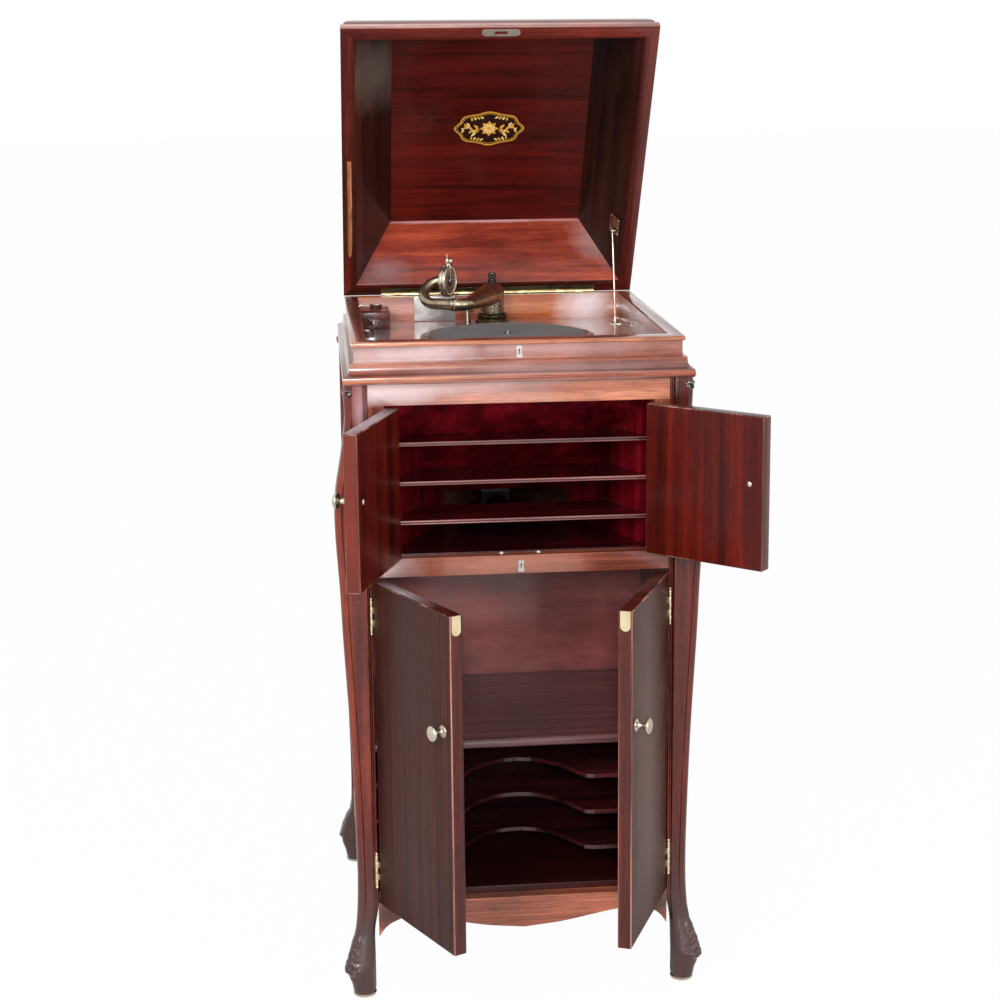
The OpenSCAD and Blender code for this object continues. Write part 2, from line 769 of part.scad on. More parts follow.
// One hinge half on the right side: a leaf from x0 to x1 behind its knuckles
module hinge_half(axis, r, h, n, which, x0, x1, leaf_y1) {
    step = h / n;
    translate([axis[0], axis[1], 0]) knuckles(r, h, n, which);
    block([x0, axis[1] + r + clear, 0], [x1, leaf_y1, h]);
    for (i = [which : 2 : n - 1]) {
        z0 = i * step + seat / 2;
        z1 = z0 + step - seat;
        difference() {
            union() {
                block([x0, axis[1], z0], [x1, axis[1] + r + clear + 0.5, z1]);
                if (x1 < axis[0] - r)
                    block([x0, axis[1], z0], [axis[0] - r * 0.7, axis[1] + r * 0.9, z1]);
            }
            translate([axis[0], axis[1], z0 - over])
                cylinder(r = r * 0.8, h = step + 2 * over);
        }
    }
}

module jamb_leaves() {
    for (z = lower_hinges) translate([0, 0, z])
        hinge_half(lower_axis, lower_knuckle_r, lower_hinge_h, 5, 0,
            post_x0 - leaf_t, post_x0, lower_axis[1] + lower_leaf_w);
    for (z = upper_hinges) translate([0, 0, z])
        hinge_half(upper_axis, upper_knuckle_r, upper_hinge_h, 3, 0,
            stile_x, stile_x + leaf_t, upper_axis[1] + upper_leaf_w);
}

module door_hinge_jamb_leaves() {
    color("#d9c070") in_frame() both_sides() jamb_leaves();
}

module hinge_pin(axis, r, h, finial) {
    pin = r * pin_share;
    translate([axis[0], axis[1], -0.5]) cylinder(r = pin, h = h + 1);
    for (z = [-finial / 2, h + finial / 2]) translate([axis[0], axis[1], z])
        intersection() {
            sphere(r = finial / 2 + 0.2);
            cylinder(r = finial, h = finial, center = true);
        }
}

module door_hinge_pins() {
    color("#e0c878") in_frame() both_sides() {
        for (z = lower_hinges) translate([0, 0, z])
            hinge_pin(lower_axis, lower_knuckle_r, lower_hinge_h, 4.6);
        for (z = upper_hinges) translate([0, 0, z])
            hinge_pin(upper_axis, upper_knuckle_r, upper_hinge_h, 2.4);
    }
}

module ball_catches() {
    color("#d9c070") in_frame() for (x = [-28, 28]) translate([x, frame_y1 - 5, mid_top]) {
        rotate_extrude() polygon([[0, 0], [4.5, 0], [4.5, 0.6], [0, 0.6]]);
        translate([0, 0, 0.5]) intersection() {
            sphere(r = 3);
            cylinder(r = 3, h = 0.9);
        }
    }
}

// A keyhole plate, facing the front, with its back at y = 0
module keyhole_plate(w, h) {
    rotate([90, 0, 0]) difference() {
        linear_extrude(1.2) difference() {
            scale([w / h, 1]) circle(d = h);
        }
        translate([0, h * 0.1, -over]) cylinder(r = 2, h = 4);
        translate([-1, -h * 0.2, -over]) cube([2, h * 0.3, 4]);
    }
}

module escutcheons() {
    color("#c0a050") in_frame() {
        translate([0, front_y + bead_out, rim_z - 18.5]) keyhole_plate(14, 20);
        translate([0, front_y, mid_rail_z + 11.7]) keyhole_plate(13, 18);
        translate([panel_x1, winding_y, winding_z]) rotate([0, 90, 0]) difference() {
            cylinder(r = crank_r + 12, h = 2);
            translate([0, 0, -over]) cylinder(r = crank_r + 4, h = 4);
        }
    }
}

// Turns a closed right-hand door, or the mirror of it, about its hinge to its open place
module swung(side, axis, open) {
    mirror([side < 0 ? 1 : 0, 0, 0]) translate([axis[0], axis[1], 0]) rotate([0, 0, open])
        translate([-axis[0], -axis[1], 0]) children();
}

module lower_door(side, open) {
    color("#3a1f1a") in_frame() swung(side, lower_axis, open) difference() {
        block([door_meet / 2, lower_face, lower_z[0]], [lower_edge, lower_face + door_t, lower_z[1]]);
        for (z = lower_hinges) block([lower_edge - leaf_t, lower_face - over, z - seat],
            [lower_edge + over, lower_axis[1] + lower_leaf_w + seat, z + lower_hinge_h + seat]);
    }
}

module upper_door(side, open) {
    color("#4a2018") in_frame() swung(side, upper_axis, open) difference() {
        block([door_meet / 2, upper_face, upper_z[0]], [upper_edge, upper_face + door_t, upper_z[1]]);
        for (z = upper_hinges) block([upper_edge - leaf_t, upper_face - over, z - seat],
            [upper_edge + over, upper_axis[1] + upper_leaf_w + seat, z + upper_hinge_h + seat]);
    }
}

module left_upper_door() { upper_door(-1, left_upper_open); }
module right_upper_door() { upper_door(1, right_upper_open); }
module left_lower_door() { lower_door(-1, left_lower_open); }
module right_lower_door() { lower_door(1, right_lower_open); }

// Moving leaves, and the brass catch plate at the top of a lower door's free edge
module lower_leaves(side, open) {
    color("#d9c070") in_frame() swung(side, lower_axis, open) {
        for (z = lower_hinges) translate([0, 0, z])
            hinge_half(lower_axis, lower_knuckle_r, lower_hinge_h, 5, 1,
                lower_edge - leaf_t, lower_edge, lower_axis[1] + lower_leaf_w);
        along_x(door_meet / 2 - catch_t, door_meet / 2)
            translate([lower_face + door_t / 2, lower_z[1] - catch_h + catch_w / 2]) {
                circle(d = catch_w);
                translate([-catch_w / 2, 0]) square([catch_w, catch_h - catch_w / 2 - 0.5]);
            }
    }
}

module upper_leaves(side, open) {
    color("#d9c070") in_frame() swung(side, upper_axis, open)
        for (z = upper_hinges) translate([0, 0, z])
            hinge_half(upper_axis, upper_knuckle_r, upper_hinge_h, 3, 1,
                upper_edge - leaf_t, upper_edge, upper_axis[1] + upper_leaf_w);
}

module left_upper_hinge_leaves() { upper_leaves(-1, left_upper_open); }
module right_upper_hinge_leaves() { upper_leaves(1, right_upper_open); }
module left_lower_hinge_leaves() { lower_leaves(-1, left_lower_open); }
module right_lower_hinge_leaves() { lower_leaves(1, right_lower_open); }

// A turned knob on its rose, with the head of its screw on the door's inner face
module knob(side, axis, open, face, z) {
    disc = knob_h - 7;
    profile = [[0, 0], [9.5, 0], [9.5, 1.4], [7.5, 2.6], [5, 3], [4, 6], [4, disc - 4],
        [7, disc - 1], [knob_r, disc], [knob_r, disc + 3], [knob_r - 2.5, knob_h - 1.6],
        [knob_r - 6, knob_h - 0.4], [0, knob_h]];
    color("#c8bda4") in_frame() swung(side, axis, open) translate([knob_in, face, z]) {
        rotate([90, 0, 0]) rotate_extrude() polygon(profile);
        translate([0, door_t, 0]) rotate([-90, 0, 0])
            rotate_extrude() polygon([[0, 0], [4.5, 0], [4, 1], [2.5, 1.8], [0, 2.1]]);
    }
}

module left_upper_knob() { knob(-1, upper_axis, left_upper_open, upper_face, upper_knob_z); }
module right_upper_knob() { knob(1, upper_axis, right_upper_open, upper_face, upper_knob_z); }
module left_lower_knob() { knob(-1, lower_axis, left_lower_open, lower_face, lower_knob_z); }
module right_lower_knob() { knob(1, lower_axis, right_lower_open, lower_face, lower_knob_z); }

module on_lid() {
    translate([0, lid_axis[0], lid_axis[1]]) rotate([-lid_open, 0, 0]) children();
}

module lid_outside() {
    edge = [for (p = concat([lid_shape[0], lid_shape[1]], smooth([for (i = [2 : len(lid_shape) - 1])
        lid_shape[i]], 4))) [-p[0], p[1]]];
    moulded(edge, half_w, -case_d, 0);
}

// The hollow of the lid: straight walls that lean in to a flat ceiling
module lid_inside() {
    drop = over * lid_lean_side / lid_hollow;
    intersection() {
        along_y(-case_d, 0) polygon([[-lid_in_x, -clear], [lid_in_x, -clear],
            [lid_ceiling[0], lid_hollow], [-lid_ceiling[0], lid_hollow]]);
        along_x(-half_w, half_w) polygon([[-case_d + lid_rim_front, -clear], [-lid_rim_rear, -clear],
            [-lid_ceiling[2], lid_hollow], [-lid_ceiling[1], lid_hollow]]);
    }
}

module top_block() {
    block([-lid_ceiling[0] - 6, -lid_ceiling[1] - 6, lid_hollow],
        [lid_ceiling[0] + 6, -lid_ceiling[2] + 6, lid_height]);
}

module lid_frame() {
    color("#5c1f18") in_frame() on_lid() difference() {
        for (side = [0 : 3]) intersection() {
            lid_outside();
            quarter(half_w, -case_d, 0, lid_ceiling[0], -lid_ceiling[1], -lid_ceiling[2],
                side, 0, lid_height);
        }
        lid_inside();
        top_block();
        hinge_groove();
        block([-lid_hinge_half - seat, -lid_leaf_w - lid_knuckle_r - seat, 0],
            [lid_hinge_half + seat, over, clear + 1.4]);
    }
}

module lid_top() {
    color("#6a2018") in_frame() on_lid() top_block();
}

// One half of the lid hinge, its leaf under the rim plane: which = 0 below, 1 above
module lid_leaf(which) {
    n = 11;
    step = 2 * lid_hinge_half / n;
    z0 = which == 0 ? -1.4 : clear;
    block([-lid_hinge_half, -lid_leaf_w - lid_knuckle_r, z0],
        [lid_hinge_half, -lid_knuckle_r - clear, z0 + 1.4]);
    translate([-lid_hinge_half, 0, 0]) rotate([0, 90, 0])
        knuckles(lid_knuckle_r, 2 * lid_hinge_half, n, which);
    for (i = [which : 2 : n - 1]) {
        x0 = -lid_hinge_half + i * step + seat / 2;
        block([x0, -lid_knuckle_r - 2 * clear, z0], [x0 + step - seat, -lid_knuckle_r * 0.75,
            z0 + 1.4]);
    }
}

module lid_hinge_lower_leaf() {
    color("#d9c070") in_frame() translate([0, lid_axis[0], lid_axis[1]]) {
        lid_leaf(0);
        translate([-lid_hinge_half, 0, 0]) rotate([0, 90, 0])
            cylinder(r = lid_knuckle_r * pin_share, h = 2 * lid_hinge_half);
    }
}

module lid_hinge_upper_leaf() {
    color("#d9c070") in_frame() on_lid() lid_leaf(1);
}

// Plate with round ends in the middle of the lid's front edge
module strike_plate() {
    end_r = 6.5;
    color("#d8d4c8") in_frame() on_lid() translate([0, -case_d + 3 + end_r, 0]) difference() {
        union() {
            block([-23.5, -end_r, clear - 0.3], [23.5, end_r, clear]);
            for (x = [-23.5, 23.5]) translate([x, 0, clear - 0.3]) cylinder(r = end_r, h = 0.3);
        }
        block([-10, -2.6, clear - over], [10, 2.6, clear + over]);
    }
}

// Nickel plate on the lid's right wall, with four screw heads and the stay's pivot stud
module stay_bracket() {
    plate_x = lid_in_x - (stay_depth + clear) * tan(lid_wall_tilt);
    color("#c8c4b8") in_frame() on_lid() {
        translate([plate_x, -stay_along - 12, stay_depth]) rotate([0, -lid_wall_tilt, 0]) {
            translate([-2, -17, -9]) cube([2, 36, 26]);
            for (y = [-13, 15], z = [-5, 13]) translate([-2, y, z]) rotate([0, -90, 0])
                rotate_extrude() polygon([[0, 0], [2.6, 0], [2, 0.9], [0, 1.3]]);
        }
        translate([stay_x - 3, -stay_along, stay_depth]) rotate([0, 90, 0])
            cylinder(r = 1.8, h = plate_x - stay_x + 1.5);
    }
}

// The rod hangs from the stud on the lid and leans to its guide
module stay_rod() {
    color("silver") in_frame() translate([stay_x, stay_open[0], stay_open[1]])
        rotate([-stay_lean, 0, 0]) difference() {
            union() {
                rotate([0, 90, 0]) cylinder(r = 3.8, h = 3, center = true);
                translate([0, 0, -stay_len]) cylinder(r = stay_r, h = stay_len - 2.5);
            }
            rotate([0, 90, 0]) cylinder(r = 1.8 + run_fit, h = 6, center = true);
        }
}

module stay_guide() {
    color("silver") in_frame() translate([stay_x, stay_foot_y + 3, board_z]) difference() {
        block([-8, -17, 0], [8, 17, 1.5]);
        block([-3, -9, -over], [3, 9, 3]);
        for (y = [-13, 13]) translate([0, y, -over]) cylinder(r = 1.5, h = 4);
    }
}

module turntable() {
    base = -table_up + 2.2;
    profile = [[pin_r + 2, -4], [14, -4], [14, -2.5], [table_r - 6, -2.5], [table_r - 5, base],
        [table_r - 1, base], [table_r, base + 1.2], [table_r, -1.2], [table_r - 1.2, 0],
        [pin_r + 2, 0]];
    color("silver") in_frame() translate([table_x, table_y, table_top])
        rotate_extrude($fn = 128) polygon(profile);
}

module turntable_felt() {
    color("#3a3a3a") in_frame() translate([table_x, table_y, table_top]) difference() {
        cylinder(r = felt_r, h = felt_t, $fn = 128);
        translate([0, 0, -over]) cylinder(r = pin_r + 2, h = felt_t + 2 * over);
    }
}

// A gear with shallow straight teeth, a tooth on the x axis when odd is false
module gear(teeth, t, bore, odd) {
    pitch = teeth * gear_scale / 2;
    step = 360 / teeth;
    root = pitch - 0.5 * gear_scale;
    tip = pitch + 0.35 * gear_scale;
    shift = odd ? step / 2 : 0;
    points = [for (i = [0 : teeth - 1]) for (c = [[-0.30, root], [-0.16, tip], [0.16, tip],
        [0.30, root]]) [c[1] * cos((i + c[0]) * step + shift), c[1] * sin((i + c[0]) * step + shift)]];
    linear_extrude(t) difference() {
        polygon(points);
        circle(r = bore);
    }
}

module turntable_spindle() {
    color("silver") in_frame() translate([table_x, table_y, 0]) {
        rotate_extrude() polygon([[0, spindle_bottom], [4.5, spindle_bottom],
            [4.5, table_top - 4], [pin_r + 2, table_top - 4], [pin_r + 2, table_top + felt_t],
            [pin_r, table_top + felt_t], [pin_r, table_top + felt_t + pin_up - 1.5],
            [pin_r - 1.2, table_top + felt_t + pin_up], [0, table_top + felt_t + pin_up]]);
        translate([0, 0, gear_z]) gear(pinion_teeth, gear_t, 4.5, true);
        translate([0, 0, wheel_z]) difference() {
            cylinder(r = wheel_r, h = 5);
            translate([0, 0, -over]) cylinder(r = 4.5, h = 7);
        }
    }
}

// Two iron plates on pillars, hung from the board by four bolts, with the governor's bearings
module motor_frame() {
    x0 = barrel_x - barrel_r - 12;
    x1 = table_x + wheel_r + 34;
    y0 = table_y - barrel_r - 12;
    y1 = table_y + barrel_r + 12;
    color("#404040") in_frame() difference() {
        union() {
            for (z = [frame_bottom, frame_top]) block([x0, y0, z[0]], [x1, y1, z[1]]);
            for (x = [x0 + 7, x1 - 7], y = [y0 + 7, y1 - 7]) translate([x, y, frame_bottom[0]])
                cylinder(r = 6, h = under_z - frame_bottom[0]);
            for (y = [table_y - 46, table_y + 16]) block([governor_x - 4, y, wheel_z - 6],
                [governor_x + 4, y + 5, frame_top[0]]);
        }
        translate([table_x, table_y, frame_bottom[0] + 2]) cylinder(r = 4.5 + run_fit, h = 120);
        translate([barrel_x, table_y, frame_bottom[0] + 2]) cylinder(r = 4 + run_fit, h = 120);
        translate([governor_x, table_y - 60, winding_z]) rotate([-90, 0, 0])
            cylinder(r = 2.5 + run_fit, h = 120);
    }
}

module spring_barrel() {
    color("#707070") in_frame() translate([barrel_x, table_y, 0]) {
        translate([0, 0, barrel_z]) difference() {
            cylinder(r = barrel_r, h = barrel_h);
            translate([0, 0, -over]) cylinder(r = 4 + run_fit, h = barrel_h + 2 * over);
        }
        translate([0, 0, gear_z]) gear(barrel_teeth, gear_t, 4 + run_fit, false);
        translate([0, 0, gear_z + gear_t]) difference() {
            cylinder(r = 14, h = barrel_z - gear_z - gear_t);
            translate([0, 0, -over]) cylinder(r = 4 + run_fit, h = 10);
        }
    }
}

module winding_gear() {
    color("#c0a050") in_frame() translate([barrel_x, table_y, 0]) {
        translate([0, 0, wheel_z]) cylinder(r = winding_gear_r, h = 5);
        translate([0, 0, frame_bottom[0] + 2.3]) cylinder(r = 4, h = frame_top[1] - frame_bottom[0] - 2.3);
    }
}

module winding_shaft() {
    x0 = barrel_x - 24;
    color("silver") in_frame() translate([0, winding_y, winding_z]) rotate([0, 90, 0])
        difference() {
            union() {
                translate([0, 0, x0]) cylinder(r = winding_r, h = crank_x - x0);
                translate([0, 0, crank_x - crank_deep - 10])
                    cylinder(r = crank_r + 2.5, h = crank_deep + 10);
            }
            translate([0, 0, crank_x - crank_deep]) cylinder(r = crank_r, h = crank_deep + over);
        }
}

module governor() {
    color("#c0a050") in_frame() translate([governor_x, table_y, winding_z]) rotate([-90, 0, 0]) {
        translate([0, 0, -48]) cylinder(r = 2.5, h = 70);
        translate([0, 0, -6]) difference() {
            cylinder(r = 3.4, h = 12);
            translate([0, 0, -over]) cylinder(r = 2.5, h = 14);
        }
        translate([0, 0, -36]) difference() {
            cylinder(r = 12, h = 2.5);
            translate([0, 0, -over]) cylinder(r = 2.5, h = 5);
        }
        for (i = [0 : 2]) rotate([0, 0, i * 120]) {
            translate([8, 0, -27]) sphere(r = 4);
            translate([6.5, -2, -34]) cube([1, 4, 14]);
        }
        translate([0, 0, -20.5]) difference() {
            cylinder(r = 8.5, h = 3);
            translate([0, 0, -over]) cylinder(r = 2.5, h = 5);
        }
    }
}

module at_arm() {
    in_frame() translate([arm_x, arm_y, 0]) children();
}

sleeve_r = elbow_r - elbow_wall - 1;

module tone_arm_base() {
    color("#c8c0b0") at_arm() translate([0, 0, board_z]) difference() {
        union() {
            rotate_extrude() polygon([[sleeve_r - 2, 0], [26, 0], [26, 5], [24.5, 6.5], [24.5, 9],
                [25.2, 10], [25.2, 15], [24, 16.5], [sleeve_r - 2, 16.5]]);
            for (a = [-35, 145, 215]) rotate([0, 0, a]) translate([26, 0, 0])
                cylinder(r = 6, h = 3);
        }
        translate([0, 0, 3]) cylinder(r = sleeve_r + run_fit, h = 20);
        translate([0, 0, -over]) cylinder(r = sleeve_r - 2, h = 20);
    }
}

// The arm: a domed bell over the pivot, a tapered tube, and a bend in plan at its tip
module arm_form(t) {
    wall = arm_r - t;
    translate([0, 0, board_z + 17]) cylinder(r = wall, h = arm_z - board_z - 17);
    translate([0, 0, arm_z]) sphere(r = wall);
    translate([1, 0, arm_z]) rotate([0, 90, 0])
        cylinder(r1 = wall - 1.2, r2 = arm_tip_r - t + 0.1, h = arm_len - 0.7);
    translate([arm_len, -arm_bend_r, arm_z]) rotate([0, 0, 90 - arm_bend])
        rotate_extrude(angle = arm_bend) translate([arm_bend_r, 0]) circle(r = arm_tip_r - t);
}

module tone_arm() {
    color("#8a7458") at_arm() rotate([0, 0, arm_heading]) {
        difference() {
            arm_form(0);
            arm_form(1.5);
        }
        translate([0, 0, board_z + 3.3]) difference() {
            cylinder(r = sleeve_r, h = 14.2);
            translate([0, 0, -over]) cylinder(r = sleeve_r - 1.5, h = 20);
        }
        translate([0, 0, arm_z + arm_r - 0.6]) difference() {
            cylinder(r = 7, h = 16.5);
            translate([0, 0, -over]) cylinder(r = 2, h = 4);
        }
    }
}

// Its own axes: x out of the arm's tip, y towards the soundbox, z square to both
module on_neck() {
    at_arm() rotate([0, 0, arm_heading]) translate([neck_tip[0], neck_tip[1], arm_z])
        rotate([0, 0, -arm_bend]) rotate([neck_back, 0, 0]) children();
}

module neck_form(t) {
    translate([seat, 0, 0]) rotate([0, 90, 0]) cylinder(r = neck_r - t, h = neck_leg - seat);
    translate([neck_leg, neck_bend, 0]) rotate([0, 0, -90])
        rotate_extrude(angle = 180) translate([neck_bend, 0]) circle(r = neck_r - t);
    translate([neck_leg - 1.8, 2 * neck_bend, 0]) rotate([0, 90, 0])
        cylinder(r = neck_r - t, h = 1.8);
}

module gooseneck() {
    color("#b8ae98") on_neck() {
        difference() {
            neck_form(0);
            neck_form(1.4);
        }
        rotate([0, 90, 0]) translate([0, 0, -plug_in]) difference() {
            cylinder(r = arm_tip_r - 1.5 - clear, h = plug_in + 4);
            translate([0, 0, -over]) cylinder(r = arm_tip_r - 3.2, h = 20);
        }
    }
}

// Its own axes: z towards the open side of the diaphragm, x towards the needle
module on_soundbox() {
    on_neck() translate([neck_leg - 1.8, 2 * neck_bend, 0]) rotate([0, -90, 0])
        rotate([0, 0, 90 + needle_lean]) children();
}

module soundbox() {
    color("#b0b0b8") on_soundbox() {
        rotate_extrude() polygon([[0, 0], [box_r - 3, 0], [box_r, 2], [box_r, box_t - 1.5],
            [box_r - 1.5, box_t], [box_r - 5, box_t], [box_r - 5.6, box_t - 3.2],
            [0, box_t - 3.2]]);
        translate([3, -1.2, box_t - 1.4]) cube([box_r - 1, 2.4, 1.6]);
        translate([0, 0, box_t - 3.2]) cylinder(r = 2, h = 3.3);
        translate([box_r + 1, 0, box_t - 4.5]) rotate([0, 90, 0]) difference() {
            cylinder(r = 3, h = 9);
            translate([0, 0, 2]) cylinder(r = 0.9, h = 9);
        }
        translate([box_r - 1, -2.5, box_t - 8]) cube([3, 5, 7]);
        translate([box_r + 4, 0, box_t - 4.5]) rotate([0, 90, 0])
            rotate_extrude() polygon([[0, 0], [0.85, 0], [0.85, 10], [0.15, needle_reach - box_r - 4],
                [0, needle_reach - box_r - 4]]);
    }
}

module needle_screw() {
    color("#b0b0b8") on_soundbox() translate([box_r + 6.5, 0, box_t - 4.5])
        translate([0, 0, 3.3]) rotate_extrude()
            polygon([[0, 0], [1.2, 0], [1.2, 1.5], [3.6, 1.5], [3.6, 5], [2.8, 6], [0, 6]]);
}

// Corner block, needle cups and blank plate round the turntable
module board_fittings() {
    color("#5a3028") in_frame() {
        block([-well_x + seat, well_y1 - 77, board_z], [-well_x + 51, well_y1 - seat, board_z + 28]);
        translate([-well_x + 30, well_y1 - 18, board_z + 28]) cup(9, 5);
        translate([-well_x + 13, well_y1 - 128, board_z]) cup(9, 6);
        block([-128.5, well_y1 - 1.5, board_z + 1], [-58, well_y1, rim_z - 1.5]);
    }
}

// The regulator's place, from the well's side and front walls
regulator_side = 52.3;
regulator_front = 58.9;
stop_place = [-38, well_y1 - 11];
regulator_place = [well_x - regulator_side, well_y0 + regulator_front];

// Upright rod of the automatic stop, with its finger
module stop_rod() {
    color("silver") in_frame() translate([stop_place[0], stop_place[1], board_z + seat]) {
        cylinder(r = 5, h = 3);
        cylinder(r = 2, h = 20);
        translate([0, 0, 18]) rotate([0, 90, 25]) cylinder(r = 1.6, h = 10);
    }
}

module speed_regulator() {
    color("silver") in_frame() translate([regulator_place[0], regulator_place[1], board_z + seat]) {
        rotate_extrude() polygon([[0, 0], [13, 0], [13, 4], [11, 5.5], [4, 6], [4, 8], [0, 8]]);
        translate([8, -1, 3]) cube([9, 2, 1.5]);
    }
}

module cup(r, h) {
    rotate_extrude() polygon([[0, 0], [r, 0], [r + 1.5, h - 1], [r + 1.5, h], [r - 0.5, h],
        [r - 2, 1], [0, 1]]);
}

// The brake's pivot stands off the turntable's rim, and brake_at is its direction, front left
brake_out = 24.8;
brake_at = 45.7;
brake_x = table_x - (table_r + brake_out) * cos(brake_at);
brake_y = table_y - (table_r + brake_out) * sin(brake_at);

module brake_lever() {
    color("silver") in_frame() translate([brake_x, brake_y, board_z + seat])
        rotate([0, 0, brake_at]) {
            cylinder(r = 6, h = 3.4);
            translate([-3, -48, 3.2]) cube([6, 60, 2]);
            translate([2, -36, 2.6]) cube([brake_out - 1.3, 8, 4]);
        }
}

posts();
floor_glides();
waist_moulding();
motor_box();
motor_board();
side_panels();
back_panel();
front_rails();
upper_stiles();
aprons();
bottom_board();
middle_shelf();
false_back();
record_shelves();
horn_walls();
horn_floor();
horn_slats();
horn_duct();
horn_elbow();
door_hinge_jamb_leaves();
door_hinge_pins();
ball_catches();
escutcheons();
left_upper_door();
right_upper_door();
left_lower_door();
right_lower_door();
left_upper_hinge_leaves();
right_upper_hinge_leaves();
left_lower_hinge_leaves();
right_lower_hinge_leaves();
left_upper_knob();
right_upper_knob();
left_lower_knob();
right_lower_knob();
lid_frame();
lid_top();
lid_hinge_lower_leaf();
lid_hinge_upper_leaf();
strike_plate();
stay_bracket();
stay_rod();
stay_guide();
turntable();
turntable_felt();
turntable_spindle();
motor_frame();
spring_barrel();
winding_gear();
winding_shaft();
governor();
tone_arm_base();
tone_arm();
gooseneck();
soundbox();
needle_screw();
board_fittings();
stop_rod();
speed_regulator();
brake_lever();
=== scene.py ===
import json
import math

import bmesh
import bpy
from mathutils import Matrix, Vector


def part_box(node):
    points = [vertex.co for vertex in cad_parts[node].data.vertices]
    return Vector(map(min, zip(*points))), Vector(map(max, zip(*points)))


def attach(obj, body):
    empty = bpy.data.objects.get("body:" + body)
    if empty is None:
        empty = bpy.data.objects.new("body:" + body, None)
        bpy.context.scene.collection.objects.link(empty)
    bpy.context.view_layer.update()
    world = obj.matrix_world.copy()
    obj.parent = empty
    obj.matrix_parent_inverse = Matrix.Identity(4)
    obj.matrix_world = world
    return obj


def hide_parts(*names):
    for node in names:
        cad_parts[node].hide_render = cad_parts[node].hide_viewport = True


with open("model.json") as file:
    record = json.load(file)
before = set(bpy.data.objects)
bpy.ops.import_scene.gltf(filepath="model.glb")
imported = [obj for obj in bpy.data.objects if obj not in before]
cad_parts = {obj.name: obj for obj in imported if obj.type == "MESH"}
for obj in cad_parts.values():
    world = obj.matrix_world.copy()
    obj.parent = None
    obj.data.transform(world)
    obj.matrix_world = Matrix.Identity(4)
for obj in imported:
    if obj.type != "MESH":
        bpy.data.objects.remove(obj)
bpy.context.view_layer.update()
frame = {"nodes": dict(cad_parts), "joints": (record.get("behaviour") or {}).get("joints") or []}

nodes = frame["nodes"]
print("frame loaded:", len(nodes), "nodes")

# Everything below is in cabinet millimetres: x from the middle of the cabinet, y from the front
# of the waist moulding, z from the floor. place turns that into the frame's metres.
mm = 0.001
boxLow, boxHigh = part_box("motor_box")
origin = Vector(((boxLow.x + boxHigh.x) / 2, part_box("waist_moulding")[0].y, 0))
place = Matrix.Translation(origin) @ Matrix.Scale(mm, 4)


def cabinetBox(node):
    low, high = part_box(node)
    return (low - origin) / mm, (high - origin) / mm


def jointAt(name):
    joint = next(j for j in frame["joints"] if j["name"] == name)
    return (Vector(joint["pos_m"]) - origin) / mm, joint


def rad(degrees):
    return math.radians(degrees)


def easeStep(low, high, value):
    share = min(1.0, max(0.0, (value - low) / (high - low)))
    return share * share * (3 - 2 * share)


def throughPoints(points, steps):
    # A smooth line that passes through every (height, value) pair
    line = []
    for i in range(len(points) - 1):
        a, b = points[max(i - 1, 0)], points[i]
        c, d = points[i + 1], points[min(i + 2, len(points) - 1)]
        for k in range(steps):
            t = k / steps
            line.append(tuple(0.5 * (2 * q + (r - p) * t + (2 * p - 5 * q + 4 * r - s) * t * t
                                     + (3 * q - p - 3 * r + s) * t ** 3)
                              for p, q, r, s in zip(a, b, c, d)))
    line.append(tuple(points[-1]))
    return line


def valueAt(line, height):
    if height <= line[0][0]:
        return line[0][1]
    for (h0, v0), (h1, v1) in zip(line, line[1:]):
        if height <= h1:
            return v0 + (v1 - v0) * (height - h0) / max(h1 - h0, 1e-6)
    return line[-1][1]


# Camera

cameraLook = {
    "place": (-299.25, -2963.42, 1476.88),
    "yaw": -5.83,
    "pitch": -11.84,
    "roll": -0.41,
    "lens": 74.11,
    "shift": (-0.02365, -0.04531),
}


def makeCamera(look):
    yaw, pitch, roll = (rad(look[k]) for k in ("yaw", "pitch", "roll"))
    ahead = Vector((-math.sin(yaw) * math.cos(pitch), math.cos(yaw) * math.cos(pitch), math.sin(pitch)))
    right = ahead.cross(Vector((0, 0, 1))).normalized()
    up = right.cross(ahead)
    turnedRight = math.cos(roll) * right + math.sin(roll) * up
    turnedUp = -math.sin(roll) * right + math.cos(roll) * up
    camera = bpy.data.objects.new("photoCamera", bpy.data.cameras.new("photoCamera"))
    bpy.context.scene.collection.objects.link(camera)
    turn = Matrix((turnedRight, turnedUp, -ahead)).transposed().to_4x4()
    camera.matrix_world = Matrix.Translation(place @ Vector(look["place"])) @ turn
    camera.data.sensor_width = 36
    camera.data.lens = look["lens"]
    camera.data.shift_x, camera.data.shift_y = look["shift"]
    camera.data.clip_end = 60
    bpy.context.scene.camera = camera


makeCamera(cameraLook)
print("camera placed")


# Material building

